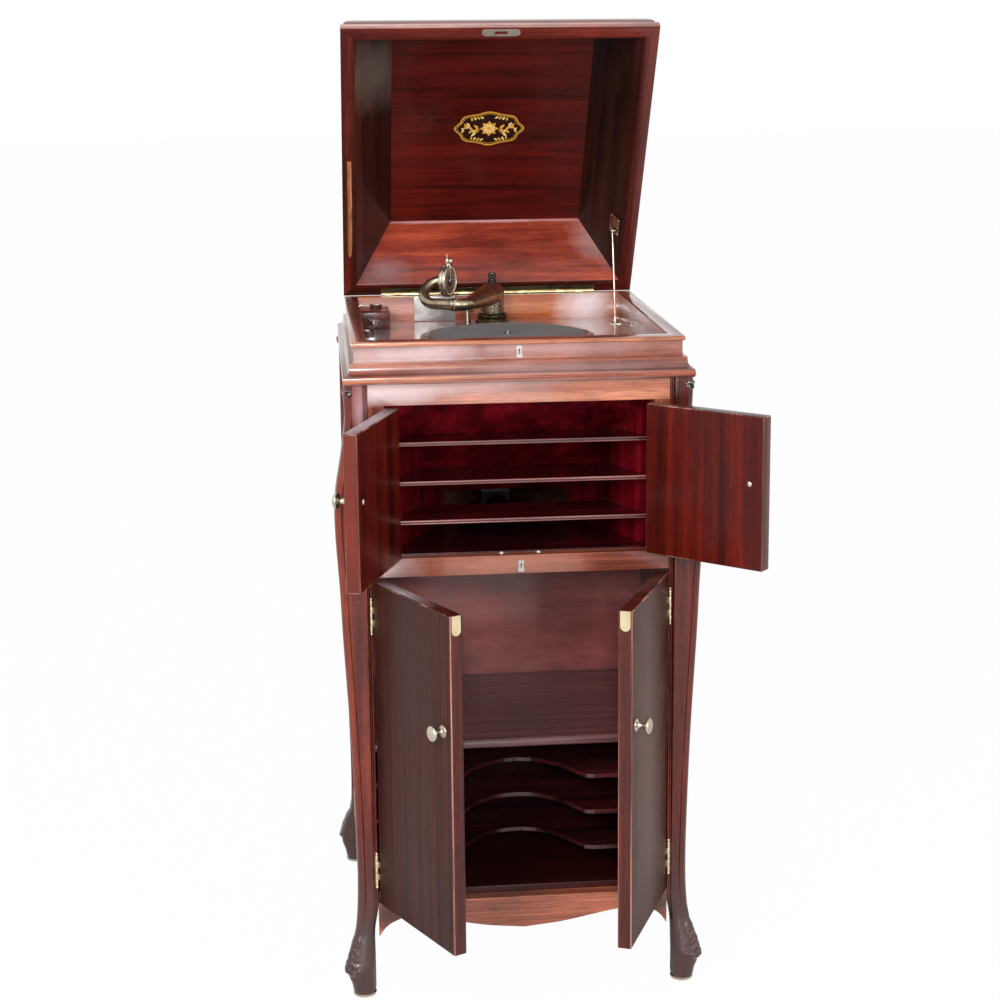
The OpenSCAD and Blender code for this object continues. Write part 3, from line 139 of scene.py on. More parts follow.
class Shader:
    def __init__(self, owner):
        # The owner is a material, or the world
        owner.use_nodes = True
        self.owner = owner
        self.tree = owner.node_tree
        self.tree.nodes.clear()

    def add(self, kind, inputs=None, **settings):
        made = self.tree.nodes.new(kind)
        for key, value in settings.items():
            setattr(made, key, value)
        for key, value in (inputs or {}).items():
            if isinstance(value, bpy.types.NodeSocket):
                self.tree.links.new(value, made.inputs[key])
            else:
                made.inputs[key].default_value = value
        return made

    def noise(self, coord, scale, detail=3.0, roughness=0.55, distortion=0.0):
        spread = self.add("ShaderNodeMapping", {"Vector": coord, "Scale": scale})
        made = self.add("ShaderNodeTexNoise", {"Vector": spread.outputs[0], "Scale": 1.0,
                                               "Detail": detail, "Roughness": roughness,
                                               "Distortion": distortion})
        return made.outputs[0]

    def math(self, kind, a, b=0.0, c=0.0):
        made = self.add("ShaderNodeMath", {0: a, 1: b, 2: c}, operation=kind)
        return made.outputs[0]

    def span(self, value, low, high, toLow=0.0, toHigh=1.0):
        made = self.add("ShaderNodeMapRange", {"Value": value, "From Min": low, "From Max": high,
                                               "To Min": toLow, "To Max": toHigh})
        return made.outputs[0]

    def ramp(self, value, stops):
        made = self.add("ShaderNodeValToRGB", {"Fac": value})
        band = made.color_ramp
        while len(band.elements) < len(stops):
            band.elements.new(0.5)
        for element, (spot, colour) in zip(band.elements, stops):
            element.position = spot
            element.color = (*colour, 1)
        return made.outputs[0]

    def mix(self, factor, a, b, blend="MIX"):
        made = self.add("ShaderNodeMix", {0: factor}, data_type="RGBA", blend_type=blend)
        for socket, value in ((6, a), (7, b)):
            if isinstance(value, bpy.types.NodeSocket):
                self.tree.links.new(value, made.inputs[socket])
            else:
                made.inputs[socket].default_value = (*value, 1)
        return made.outputs[2]

    def bump(self, height, strength, distance):
        inputs = {"Height": height, "Strength": strength, "Distance": distance}
        return self.add("ShaderNodeBump", inputs).outputs[0]

    def objectCoord(self):
        return self.add("ShaderNodeTexCoord").outputs["Object"]

    def shaded(self, colour, shade):
        grey = self.add("ShaderNodeCombineColor", {0: shade, 1: shade, 2: shade}).outputs[0]
        return self.mix(1.0, colour, grey, "MULTIPLY")

    def close(self, inputs):
        body = self.add("ShaderNodeBsdfPrincipled", inputs)
        self.add("ShaderNodeOutputMaterial", {0: body.outputs[0]})
        return self.owner


def newShader(name):
    return Shader(bpy.data.materials.new(name))


def rgb(text):
    # A colour as seen, such as 6b2a22, as the linear values that shaders take
    values = [int(text[i:i + 2], 16) / 255 for i in (0, 2, 4)]
    return tuple(v / 12.92 if v <= 0.04045 else ((v + 0.055) / 1.055) ** 2.4 for v in values)


axisOrder = {"x": (0, 1, 2), "y": (1, 0, 2), "z": (2, 0, 1)}


def grainCoord(shader, axis):
    # Made pieces carry their boards' own directions in an attribute, and nodes run along an axis
    if axis is None:
        return shader.add("ShaderNodeAttribute", attribute_name="grain").outputs["Vector"]
    split = shader.add("ShaderNodeSeparateXYZ", {0: shader.objectCoord()})
    ways = []
    for letter in axis:
        order = axisOrder[letter]
        turned = shader.add("ShaderNodeCombineXYZ", {k: split.outputs[order[k]] for k in range(3)})
        ways.append(turned.outputs[0])
    if len(ways) == 1:
        return ways[0]
    # Two letters: the second is the way of the boards on the cabinet's left and right
    facing = shader.add("ShaderNodeNewGeometry").outputs["True Normal"]
    across = shader.add("ShaderNodeSeparateXYZ", {0: facing}).outputs[0]
    side = shader.math("GREATER_THAN", shader.math("ABSOLUTE", across), 0.7)
    return shader.add("ShaderNodeMix", {0: side, 4: ways[0], 5: ways[1]}, data_type="VECTOR").outputs[1]


woodBase = {
    "dark": "2a0d0b", "mid": "55201a", "light": "7c3426",
    "along": 1.6, "across": 58.0, "ribbon": 24.0, "figure": 0.5, "wave": 0.1, "lines": 0.35,
    "pores": 0.35, "cloud": 0.3, "speck": 0.25, "speckColour": "b98f7c",
    "rough": 0.28, "specular": 0.4, "coat": 0.35, "coatRough": 0.1, "bump": 0.12,
    "lowTint": None, "creaseShade": 0.0, "worn": 0.0, "wornColour": "a8705a", "paintedLight": (),
}
# How fine each mark in the wood is, along the boards and across them both ways; the last entry is how fine
# the uneven edge of the painted light patches is
markScale = {
    "lines": (6, 300, 300), "pores": (34, 620, 620), "cloud": (5, 7, 7), "worn": (38, 60, 60),
    "speck": (270, 310, 350), "paintedLight": (16, 16, 16),
}
# Painted shade in grooves and creases, where the surface hollows in
creaseShadeColour = "1a0806"
lowTintSpan = (0.26, 0.1)  # metres from the floor, from no tint to all of it


def paintedLightPatch(shader, colour, centre, reach, strength, paintedLightColour):
    # A patch of painted light round a place on the cabinet, with its reach along x, y and z: a painted
    # highlight, reflection or sheen when its colour is pale, painted shade when it is dark
    whole = shader.objectCoord()
    middle = place @ Vector(centre)
    offset = shader.add("ShaderNodeVectorMath", {0: whole, 1: middle}, operation="SUBTRACT").outputs[0]
    size = [1 / (r * mm) for r in reach]
    scaled = shader.add("ShaderNodeVectorMath", {0: offset, 1: size}, operation="MULTIPLY").outputs[0]
    away = shader.add("ShaderNodeVectorMath", {0: scaled}, operation="LENGTH").outputs["Value"]
    uneven = shader.noise(whole, markScale["paintedLight"], 4, 0.6)
    edge = shader.math("MULTIPLY_ADD", uneven, 0.9, shader.math("SUBTRACT", away, 0.45))
    cloud = shader.math("MULTIPLY", shader.span(edge, 1.0, 0.15), strength)
    return shader.mix(cloud, colour, rgb(paintedLightColour))


def woodMaterial(name, axis=None, **changes):
    look = {**woodBase, **changes}
    shader = newShader(name)
    coord = grainCoord(shader, axis)
    growth = shader.noise(coord, (look["along"], look["across"], look["across"]), 6, 0.62, look["wave"])
    ribbon = shader.noise(coord, (0.8, look["ribbon"], look["ribbon"]), 2, 0.5, look["wave"])
    lines = shader.noise(coord, markScale["lines"], 3, 0.6)
    pores = shader.noise(coord, markScale["pores"], 2, 0.6)
    cloud = shader.noise(coord, markScale["cloud"], 4, 0.6)
    figure = shader.math("MULTIPLY_ADD", shader.math("SUBTRACT", ribbon, 0.5), look["figure"] * 1.6, growth)
    figure = shader.math("MULTIPLY_ADD", shader.math("SUBTRACT", lines, 0.5), look["lines"], figure)
    colour = shader.ramp(figure, [(0.30, rgb(look["dark"])), (0.50, rgb(look["mid"])),
                                  (0.72, rgb(look["light"]))])
    poreShade = shader.span(pores, 0.36, 0.50, 1 - look["pores"], 1.0)
    cloudShade = shader.span(cloud, 0.3, 0.7, 1 - look["cloud"], 1 + look["cloud"])
    colour = shader.shaded(colour, shader.math("MULTIPLY", poreShade, cloudShade))
    if look["lowTint"]:
        split = shader.add("ShaderNodeSeparateXYZ", {0: shader.objectCoord()})
        low = shader.span(split.outputs[2], *lowTintSpan, 0.0, 0.85)
        colour = shader.mix(low, colour, rgb(look["lowTint"]))
    if look["creaseShade"] or look["worn"]:
        point = shader.add("ShaderNodeNewGeometry").outputs["Pointiness"]
    # Painted shade: where the surface hollows in, the colour darkens towards the crease shade colour
    if look["creaseShade"]:
        groove = shader.span(point, 0.49, 0.44, 0.0, look["creaseShade"])
        colour = shader.mix(groove, colour, rgb(creaseShadeColour))
    if look["worn"]:
        edge = shader.span(point, 0.52, 0.6)
        patchy = shader.span(shader.noise(coord, markScale["worn"], 4), 0.45, 0.62)
        worn = shader.math("MULTIPLY", edge, shader.math("MULTIPLY", patchy, look["worn"]))
        colour = shader.mix(worn, colour, rgb(look["wornColour"]))
    specks = shader.noise(coord, markScale["speck"], 2, 0.5, 1.8)
    speck = shader.math("MULTIPLY", shader.span(specks, 0.745, 0.775), look["speck"])
    colour = shader.mix(speck, colour, rgb(look["speckColour"]))
    # Patches of painted light: painted highlights, reflections and sheen, and dark ones as painted shade
    for paintedLight in look["paintedLight"]:
        colour = paintedLightPatch(shader, colour, *paintedLight)
    rough = shader.span(cloud, 0.3, 0.7, look["rough"] - 0.06, look["rough"] + 0.1)
    height = shader.math("MULTIPLY_ADD", pores, 0.5, growth)
    return shader.close({
        "Base Color": colour, "Roughness": rough, "Normal": shader.bump(height, look["bump"], 0.0006),
        "Specular IOR Level": look["specular"], "Coat Weight": look["coat"],
        "Coat Roughness": look["coatRough"]})


metalBase = {
    "colour": "c9bfa8", "tarnish": "6a5a44", "amount": 0.5, "scale": 45.0, "rough": 0.24,
    "spread": 0.2, "scratch": 0.12, "scratchScale": (90, 900, 1400), "metallic": 1.0,
}


def metalMaterial(name, **changes):
    look = {**metalBase, **changes}
    shader = newShader(name)
    coord = shader.objectCoord()
    scale = look["scale"]
    patches = shader.noise(coord, (scale, scale, scale), 5, 0.62, 0.4)
    spots = shader.noise(coord, (scale * 9, scale * 9, scale * 9), 2, 0.5)
    lines = shader.noise(coord, look["scratchScale"], 2, 0.5)
    mask = shader.math("MULTIPLY", shader.span(patches, 0.42, 0.68), look["amount"])
    dots = shader.math("MULTIPLY", shader.span(spots, 0.66, 0.74), look["amount"] * 0.8)
    colour = shader.mix(shader.math("MAXIMUM", mask, dots), rgb(look["colour"]), rgb(look["tarnish"]))
    rough = shader.span(patches, 0.35, 0.7, look["rough"], look["rough"] + look["spread"])
    normal = shader.bump(shader.math("MULTIPLY_ADD", lines, 0.4, spots), look["scratch"], 0.0003)
    return shader.close({"Base Color": colour, "Metallic": look["metallic"], "Roughness": rough,
                         "Normal": normal})


woodLooks = {
    # The posts: painted shade in their grooves and creases, and a painted highlight high on the front left
    # post
    "post": {"dark": "38100b", "mid": "6c2318", "light": "8e371f", "across": 46, "figure": 0.25,
             "lines": 0.15, "lowTint": "433533", "creaseShade": 0.8, "worn": 0.75, "speck": 0.6,
             "rough": 0.3, "coat": 0.2, "specular": 0.35,
             "paintedLight": [((-236, 10, 920), (14, 14, 50), 0.6, "c3a0a6")]},
    "panel": {"dark": "2e0f0b", "mid": "541f17", "light": "763424", "across": 46, "figure": 0.35,
              "lines": 0.2, "wave": 0.5, "rough": 0.3, "coat": 0.3, "specular": 0.35},
    # The capital: painted shade in the carving's hollows
    "capital": {"dark": "140706", "mid": "34110d", "light": "6a2c22", "figure": 0.3, "coat": 0.9,
                "coatRough": 0.06, "creaseShade": 0.9, "worn": 0.8, "wornColour": "c08f88", "bump": 0.05},
    # The rails: painted reflections and highlights, palest towards the left
    "rail": {"dark": "5c2316", "mid": "944a34", "light": "bd7454", "across": 40, "coat": 0.8,
             "paintedLight": [((-235, 16, 945), (150, 60, 22), 0.75, "d8c6cb"),
                       ((-150, 16, 952), (180, 60, 14), 0.5, "c9a7a6"),
                       ((-225, 16, 681), (90, 60, 30), 0.75, "cbb0b0"),
                       ((-30, 16, 682), (170, 60, 24), 0.35, "cf8468"),
                       ((40, 0, 972), (250, 60, 20), 0.4, "d8aca6")]},
    # The aprons: painted shade at their two ends
    "apron": {"dark": "6a2c1c", "mid": "a5563a", "light": "c97c52", "across": 50, "figure": 0.3,
              "coat": 0.7, "paintedLight": [((-205, 10, 130), (50, 60, 60), 0.9, "3a1a14"),
                                     ((205, 10, 130), (50, 60, 60), 0.9, "3a1a14")]},
    # The motor box's front: painted reflection, mostly on the left
    "boxOut": {"dark": "6e2e20", "mid": "a45a44", "light": "cf8a6c", "across": 40, "coat": 0.8,
               "paintedLight": [((-170, 18, 1002), (150, 60, 24), 0.7, "dcc3c4"),
                         ((30, 18, 1008), (230, 60, 16), 0.45, "cfa9a4")]},
    "box": {"dark": "35110f", "mid": "65281f", "light": "8a4030", "coat": 0.6},
    # The well's rear wall: painted highlights, brightest on the right
    "wellRear": {"dark": "8a3814", "mid": "c0602e", "light": "e08c50", "across": 30, "figure": 0.8,
                 "coat": 0.5, "coatRough": 0.04, "rough": 0.25, "wave": 0.5,
                 "paintedLight": [((165, 536, 1000), (60, 60, 60), 0.8, "f0e2e4"),
                           ((-140, 536, 1000), (90, 60, 60), 0.25, "c9a4a8")]},
    # The motor board: painted reflections on its left and right
    "board": {"dark": "3a1512", "mid": "6a2c22", "light": "96503c", "rough": 0.14, "coat": 1.0,
              "coatRough": 0.02, "bump": 0.02, "specular": 0.7,
              "paintedLight": [((-150, 420, 977), (110, 120, 20), 0.55, "cdb9c0"),
                        ((185, 420, 977), (70, 160, 20), 0.7, "e6dcde")]},
    # A paler copy of the rail wood, for the rows that carry a painted highlight
    "moulding": {"dark": "8a3c24", "mid": "c27650", "light": "e2a684", "across": 90, "coat": 0.9,
                 "rough": 0.22},
    # The doors' outer faces: painted sheen on the right lower door
    "doorOut": {"dark": "2c110d", "mid": "401c15", "light": "52251b", "across": 150, "ribbon": 60,
                "figure": 0.06, "lines": 0.1, "cloud": 0.2, "pores": 0.28, "speckColour": "8a6a5e",
                "speck": 0.45, "coat": 0.0, "rough": 0.45, "specular": 0.22,
                "paintedLight": [((190, -100, 400), (110, 160, 420), 0.3, "866a5c")]},
    "doorIn": {"dark": "350806", "mid": "4e1009", "light": "6e1b0b", "across": 50, "ribbon": 26,
               "figure": 0.3, "lines": 0.2, "wave": 0.3, "cloud": 0.2, "speck": 0.12, "coat": 0.08,
               "rough": 0.36, "specular": 0.15},
    # The doors' edges: painted light on the left doors, red-brown on the upper door's edge and pale
    # highlights along their tops
    "doorEdge": {"dark": "2c0c09", "mid": "4a1812", "light": "64241a", "figure": 0.25, "coat": 0.25,
                 "specular": 0.25, "bump": 0.02, "rough": 0.34,
                 "paintedLight": [((-267, -175, 811), (40, 40, 200), 0.75, "7c2a16"),
                           ((-235, -80, 926), (70, 150, 4), 0.85, "b9a9b0"),
                           ((-185, -60, 663), (60, 130, 4), 0.7, "b3a3aa")]},
    # Pale edges: partly wear, partly painted highlight
    "edgeWearAndHighlight": {"dark": "5c2e2a", "mid": "8f5450", "light": "c08a84", "across": 90, "coat": 0.3,
                 "rough": 0.35, "pores": 0.2},
    # The false back: painted sheen in its middle
    "inside": {"dark": "6e302e", "mid": "9a5250", "light": "b8706c", "across": 8, "ribbon": 6,
               "figure": 0.1, "lines": 0.03, "pores": 0.15, "cloud": 0.5, "speck": 0.7, "coat": 0.5,
               "rough": 0.38, "paintedLight": [((-10, 367, 630), (120, 80, 70), 0.6, "b09aa2")]},
    "shelf": {"dark": "44262a", "mid": "66383b", "light": "835250", "figure": 0.12, "lines": 0.1,
              "coat": 0.6, "rough": 0.3},
    "floorBoard": {"dark": "1c0605", "mid": "340c0a", "light": "4a1613", "figure": 0.3, "coat": 0.3,
                   "specular": 0.3, "rough": 0.35},
    "record": {"dark": "1d0a0b", "mid": "3d1416", "light": "5a2022", "coat": 0.5, "rough": 0.25},
    "horn": {"dark": "35000a", "mid": "5a0410", "light": "82101e", "across": 30, "ribbon": 20,
             "figure": 0.4, "coat": 0.4, "rough": 0.28, "speck": 0.05},
    "hornDark": {"dark": "1b0306", "mid": "33060b", "light": "4c0d14", "coat": 0.5, "rough": 0.22,
                 "speck": 0.05},
    # The ceiling: a faint painted patch of red light on its left
    "ceiling": {"dark": "300806", "mid": "4b0d08", "light": "68150c", "along": 2.6, "across": 46,
                "ribbon": 20, "figure": 0.15, "lines": 0.16, "wave": 0.8, "cloud": 0.25, "coat": 0.2,
                "rough": 0.3, "specular": 0.25, "speck": 0.06,
                "paintedLight": [((-150, 640, 1200), (60, 300, 260), 0.12, "b03a20")]},
    # The lid's rear wall: painted highlights, and a painted highlight line where it meets the ceiling
    "lidRear": {"dark": "581509", "mid": "8e3020", "light": "b34b2e", "along": 3.2, "across": 44,
                "ribbon": 20, "figure": 0.4, "lines": 0.2, "wave": 1.0, "cloud": 0.4, "coat": 0.4,
                "rough": 0.3, "speck": 0.2,
                "paintedLight": [((205, 590, 1120), (60, 60, 70), 0.6, "dcc0bc"),
                          ((-175, 560, 1060), (50, 60, 35), 0.3, "c8a0a0"),
                          ((0, 604, 1142), (260, 5, 5), 0.9, "d09a9a")]},
    # The lid's side walls: painted grey-green reflection high on the left one
    "lidSide": {"dark": "180a08", "mid": "2e110c", "light": "461b13", "along": 2.4, "across": 60,
                "ribbon": 30, "figure": 0.6, "coat": 0.12, "rough": 0.32, "specular": 0.25,
                "speck": 0.1,
                "paintedLight": [((-200, 400, 1400), (90, 190, 75), 0.55, "7d7267")]},
    "lidRim": {"dark": "2c0b08", "mid": "51160f", "light": "772b1e", "across": 60, "coat": 0.4,
               "specular": 0.3},
    "lidOut": {"dark": "34110f", "mid": "5e231c", "light": "833a2b", "coat": 0.5},
    # The lid's lip: pale, partly wear, partly painted highlight
    "lidLipWearAndHighlight": {"dark": "6e342a", "mid": "a86a60", "light": "dbb0a6", "across": 90, "coat": 0.4,
                "rough": 0.3},
    "bareWood": {"dark": "7a3f26", "mid": "a8663e", "light": "c98e60", "across": 120, "coat": 0.0,
                 "rough": 0.55, "specular": 0.2, "pores": 0.5},
    "back": {"dark": "2c1712", "mid": "4a2a20", "light": "644032", "coat": 0.0, "rough": 0.6,
             "specular": 0.25, "pores": 0.5},
    # The doors' rounded edges: pale, partly wear, partly painted highlight
    "doorRoundWearAndHighlight": {"dark": "36140f", "mid": "5c2419", "light": "b07a66", "across": 160, "figure": 0.8,
                  "coat": 0.3, "rough": 0.3},
}

woodsMade = {}


def wood(kind, axis=None):
    key = kind + ("" if axis is None else "Along" + axis.upper())
    if key not in woodsMade:
        woodsMade[key] = woodMaterial(key, axis, **woodLooks[kind])
    return woodsMade[key]


brass = metalMaterial("wornBrass", colour="ecdcb6", tarnish="a1875a", rough=0.24, amount=0.4)
nickel = metalMaterial("wornNickel", colour="cfc6b3", tarnish="86735a", rough=0.2, amount=0.45)
darkNickel = metalMaterial("bronzeNickel", colour="b3a48a", tarnish="5e4d3a", rough=0.22,
                           amount=0.8, scale=60)
silver = metalMaterial("whiteMetal", colour="dedcd8", tarnish="9a928a", rough=0.28, amount=0.4,
                       metallic=0.55)
paleNickel = metalMaterial("paleNickel", colour="d9d3c4", tarnish="a8987c", rough=0.24, amount=0.35)
plateSilver = metalMaterial("plateSilver", colour="b4afac", tarnish="827b78", rough=0.38, amount=0.5)
bronzeBase = metalMaterial("darkBase", colour="5a4a34", tarnish="15110e", rough=0.25, amount=1.0,
                           scale=70)
steel = metalMaterial("plainSteel", colour="a9a9a6", tarnish="5d564c", rough=0.32, amount=0.4)
iron = metalMaterial("enamelIron", colour="191412", tarnish="0f0d0c", metallic=0.0, rough=0.35,
                     spread=0.15, amount=0.5)
blackKnurl = metalMaterial("blackCap", colour="191715", tarnish="2e2721", metallic=0.2, rough=0.4)


feltLook = {
    "dark": "342a2a", "light": "524343", "fibreScale": 900, "cloudScale": 14, "fibreShade": (0.65, 1.25),
    "rough": 0.95, "specular": 0.15, "sheen": 0.15, "sheenRough": 0.5, "bump": 0.5,
}


def feltMaterial(look):
    shader = newShader("darkFelt")
    coord = shader.objectCoord()
    fibres = shader.noise(coord, (look["fibreScale"],) * 3, 4, 0.7, 0.5)
    clouds = shader.noise(coord, (look["cloudScale"],) * 3, 4, 0.6)
    colour = shader.ramp(clouds, [(0.3, rgb(look["dark"])), (0.7, rgb(look["light"]))])
    colour = shader.shaded(colour, shader.span(fibres, 0.3, 0.7, *look["fibreShade"]))
    return shader.close({
        "Base Color": colour, "Roughness": look["rough"], "Specular IOR Level": look["specular"],
        "Sheen Weight": look["sheen"], "Sheen Roughness": look["sheenRough"],
        "Normal": shader.bump(fibres, look["bump"], 0.0006)})


def plainMaterial(name, dark, light, scale, rough, specular=0.5):
    shader = newShader(name)
    patches = shader.noise(shader.objectCoord(), (scale, scale, scale), 5, 0.6)
    colour = shader.ramp(patches, [(0.3, rgb(dark)), (0.7, rgb(light))])
    return shader.close({
        "Base Color": colour, "Roughness": shader.span(patches, 0.3, 0.7, rough, rough + 0.15),
        "Specular IOR Level": specular, "Normal": shader.bump(patches, 0.15, 0.0004)})


felt = feltMaterial(feltLook)
gasketRubber = plainMaterial("creamRubber", "a99a7c", "d6c8a8", 260, 0.5)
micaDisc = plainMaterial("darkMica", "161d28", "2c3644", 90, 0.1, 0.7)
goldPaint = metalMaterial("goldPaint", colour="e0a63c", tarnish="9a5a1c", rough=0.4, amount=0.5,
                          scale=260, metallic=0.0)
paleGold = metalMaterial("paleGold", colour="ecd089", tarnish="c08a3c", rough=0.4, amount=0.4,
                         scale=260, metallic=0.0)
darkGround = plainMaterial("ornamentGround", "1d0906", "34120a", 160, 0.35, 0.3)
print("materials made")


# Mesh building

pieceCount = 0


def inScene(name, data):
    thing = bpy.data.objects.new(name, data)
    bpy.context.scene.collection.objects.link(thing)
    return thing


def boardCoord(point, axis):
    order = axisOrder[axis]
    return Vector((point[order[0]], point[order[1]], point[order[2]])) * mm


def addPiece(name, mesh, body, materials, turn=Matrix(), grain="z", replaces=(),
             sharp=32):
    # mesh is a bmesh in millimetres; turn takes it to the cabinet. grain is an axis letter,
    # or a function that gives a face's letter.
    global pieceCount
    pieceCount += 1
    mesh.normal_update()
    layer = mesh.loops.layers.float_vector.new("grain")
    shift = Vector((0.37 * pieceCount, 0.61 * pieceCount, 0.29 * pieceCount))
    for face in mesh.faces:
        face.smooth = True
        letter = grain if isinstance(grain, str) else grain(face)
        for loop in face.loops:
            loop[layer] = boardCoord(loop.vert.co, letter) + shift * (1 + "xyz".index(letter))
    for edge in mesh.edges:
        if len(edge.link_faces) == 2 and edge.calc_face_angle(0) > rad(sharp):
            edge.smooth = False
    whole = place @ turn
    mesh.transform(whole)
    if whole.to_3x3().determinant() < 0:
        bmesh.ops.reverse_faces(mesh, faces=mesh.faces)
    data = bpy.data.meshes.new(name)
    mesh.to_mesh(data)
    mesh.free()
    for material in materials:
        data.materials.append(material)
    piece = inScene(name, data)
    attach(piece, body)
    if replaces:
        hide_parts(*replaces)


def roundedBlock(mesh, low, high, radius, steps, worn=-1):
    # A block with rounded edges; worn is the material number of those edges, which on the doors are paler,
    # partly as wear and partly as a painted highlight
    low, high = Vector(low), Vector(high)
    verts = bmesh.ops.create_cube(mesh, size=1)["verts"]
    for vert in verts:
        vert.co = [low[k] + (vert.co[k] + 0.5) * (high[k] - low[k]) for k in range(3)]
    edges = list({e for v in verts for e in v.link_edges})
    bmesh.ops.bevel(mesh, geom=edges, offset=radius, segments=steps, profile=0.5,
                    affect="EDGES", material=worn)


def circle(radius, steps, x=0.0, y=0.0):
    return [(x + radius * math.cos(2 * math.pi * k / steps), y + radius * math.sin(2 * math.pi * k / steps))
            for k in range(steps)]


def skinRings(mesh, rings):
    # The faces between closed rings of points, one ring after another
    faces = []
    for one, two in zip(rings, rings[1:]):
        for k in range(len(one)):
            n = (k + 1) % len(one)
            faces.append(mesh.faces.new([one[k], one[n], two[n], two[k]]))
    return faces


def lathe(mesh, profile, turn=Matrix(), steps=48):
    # Turns (radius, height) points round the z axis of turn, closed where the radius is 0
    rings = []
    for radius, height in profile:
        spots = [(0, 0)] if radius < 1e-6 else circle(radius, steps)
        rings.append([mesh.verts.new(turn @ Vector((x, y, height))) for x, y in spots])
    for one, two in zip(rings, rings[1:]):
        if len(one) == len(two):
            if len(one) > 1:
                skinRings(mesh, [one, two])
            continue
        for k in range(steps):
            n = (k + 1) % steps
            mesh.faces.new([one[0], two[n], two[k]] if len(one) == 1 else [one[k], one[n], two[0]])


def tube(mesh, path, radii, steps):
    # A round tube with flat ends along a path of points, with a radius for each
    path = [Vector(p) for p in path]
    side = None
    rings = []
    for i, point in enumerate(path):
        ahead = (path[min(i + 1, len(path) - 1)] - path[max(i - 1, 0)]).normalized()
        if side is None:
            side = ahead.orthogonal().normalized()
        side = (side - ahead * side.dot(ahead)).normalized()
        other = ahead.cross(side)
        rings.append([mesh.verts.new(point + radii[i] * (x * side + y * other))
                      for x, y in circle(1, steps)])
    skinRings(mesh, rings)
    mesh.faces.new(list(reversed(rings[0])))
    mesh.faces.new(rings[-1])


def ringLoft(mesh, rects, materialOf):
    # Walls through a list of rectangles (x0, x1, y0, y1, z), each side a mitred board
    loops = [[mesh.verts.new((x, y, z)) for x, y in ((x0, y0), (x1, y0), (x1, y1), (x0, y1))]
             for x0, x1, y0, y1, z in rects]
    side = mesh.faces.layers.int.new("side")
    for count, face in enumerate(skinRings(mesh, loops)):
        number, k = divmod(count, 4)
        face[side] = k
        face.material_index = materialOf(number, k)


def bySide(mesh):
    side = mesh.faces.layers.int.get("side")
    return lambda face: "x" if face[side] in (0, 2) else "y"


# Posts: a corner column, a flat face and a double bead beside the doors, with carved feet

postLook = {
    "inner": 225.0, "outer": 260.0, "front": 10.0, "back": 47.0, "foot": 5.0, "top": 962.0,
    "strip": 6.5, "stripFace": 15.6, "beadHeight": 0.9,
    "column": 10.5, "groove": 0.9, "grooveWidth": 1.5,
    "side": [(0, 7), (14, 9), (42, 17), (75, 9), (107, 0), (190, -4), (385, 0.5), (560, 9),
             (640, 12), (767, 17.5), (850, 6), (897, -0.5), (930, 0)],
    "frontOut": [(0, 14), (14, 15), (42, 18), (75, 9), (107, 0), (190, -4), (385, 0.5), (560, 4),
                 (640, 6), (767, 8.5), (850, 3), (897, -0.5), (930, 0)],
    "rearSide": [(0, 7), (14, 9), (42, 17), (75, 9), (107, -2), (190, -4), (385, -1.5), (930, -1.5)],
    "rearFace": [(0, 14), (14, 15), (42, 18), (75, 9), (107, 0), (190, -4), (385, 0), (930, 0)],
    "backIn": [(0, 16), (42, 15), (75, 10), (120, 1), (160, 0)],
    "roundBelow": (92, 150), "roundPower": 2.5,
    "leafLow": 40.0, "leafHigh": 128.0, "leafDepth": 2.2, "scallop": 20.0,
    "capital": 949.0, "capitalRadius": 8.6, "capitalIn": 6.5, "capitalGrid": (22, 36),
    "fineStep": 1.6, "fineRows": 84, "coarseStep": 8, "lineSteps": 8, "footIn": 0.06,
}
backLine = throughPoints(postLook["backIn"], postLook["lineSteps"])


def postSection(look, z, sideLine, frontLine):
    up = z - look["foot"]
    outer = look["outer"] + valueAt(sideLine, up)
    front = look["front"] - valueAt(frontLine, up)
    back = look["back"] - valueAt(backLine, up)
    inner, strip, stripFace = look["inner"], look["strip"], look["stripFace"]
    points = [(inner, back - (back - stripFace) * k / 3) for k in range(4)]
    for k in range(1, 13):
        across = k / 12
        bead = abs(math.sin(2 * math.pi * across)) * look["beadHeight"]
        points.append((inner + strip * across, stripFace - bead))
    step = inner + strip
    points += [(step, front + 1.2), (step + 0.3, front + 0.4), (step + 1.2, front)]
    column, width, depth = look["column"], look["grooveWidth"], look["groove"]
    edge = outer - column
    for k in range(1, 6):
        points.append((step + 1.2 + (edge - width - step - 1.2) * k / 5, front))
    points += [(edge - width * 0.5, front + depth), (edge, front + 0.2)]
    for k in range(1, 12):
        a = math.pi / 2 * k / 12
        points.append((edge + column * math.sin(a), front + column - column * math.cos(a)))
    points += [(outer, front + column), (outer - depth, front + column + width * 0.5),
               (outer, front + column + width)]
    side0 = front + column + width
    for k in range(1, 6):
        points.append((outer, side0 + (back - 2 - side0) * k / 5))
    points += [(outer - 0.6, back - 0.6), (outer - 2, back)]
    for k in range(1, 4):
        points.append((outer - 2 + (inner - outer + 2) * k / 4, back))
    return points, (step, outer, front, back)


def hump(value, width):
    return math.exp(-(value / width) ** 2)


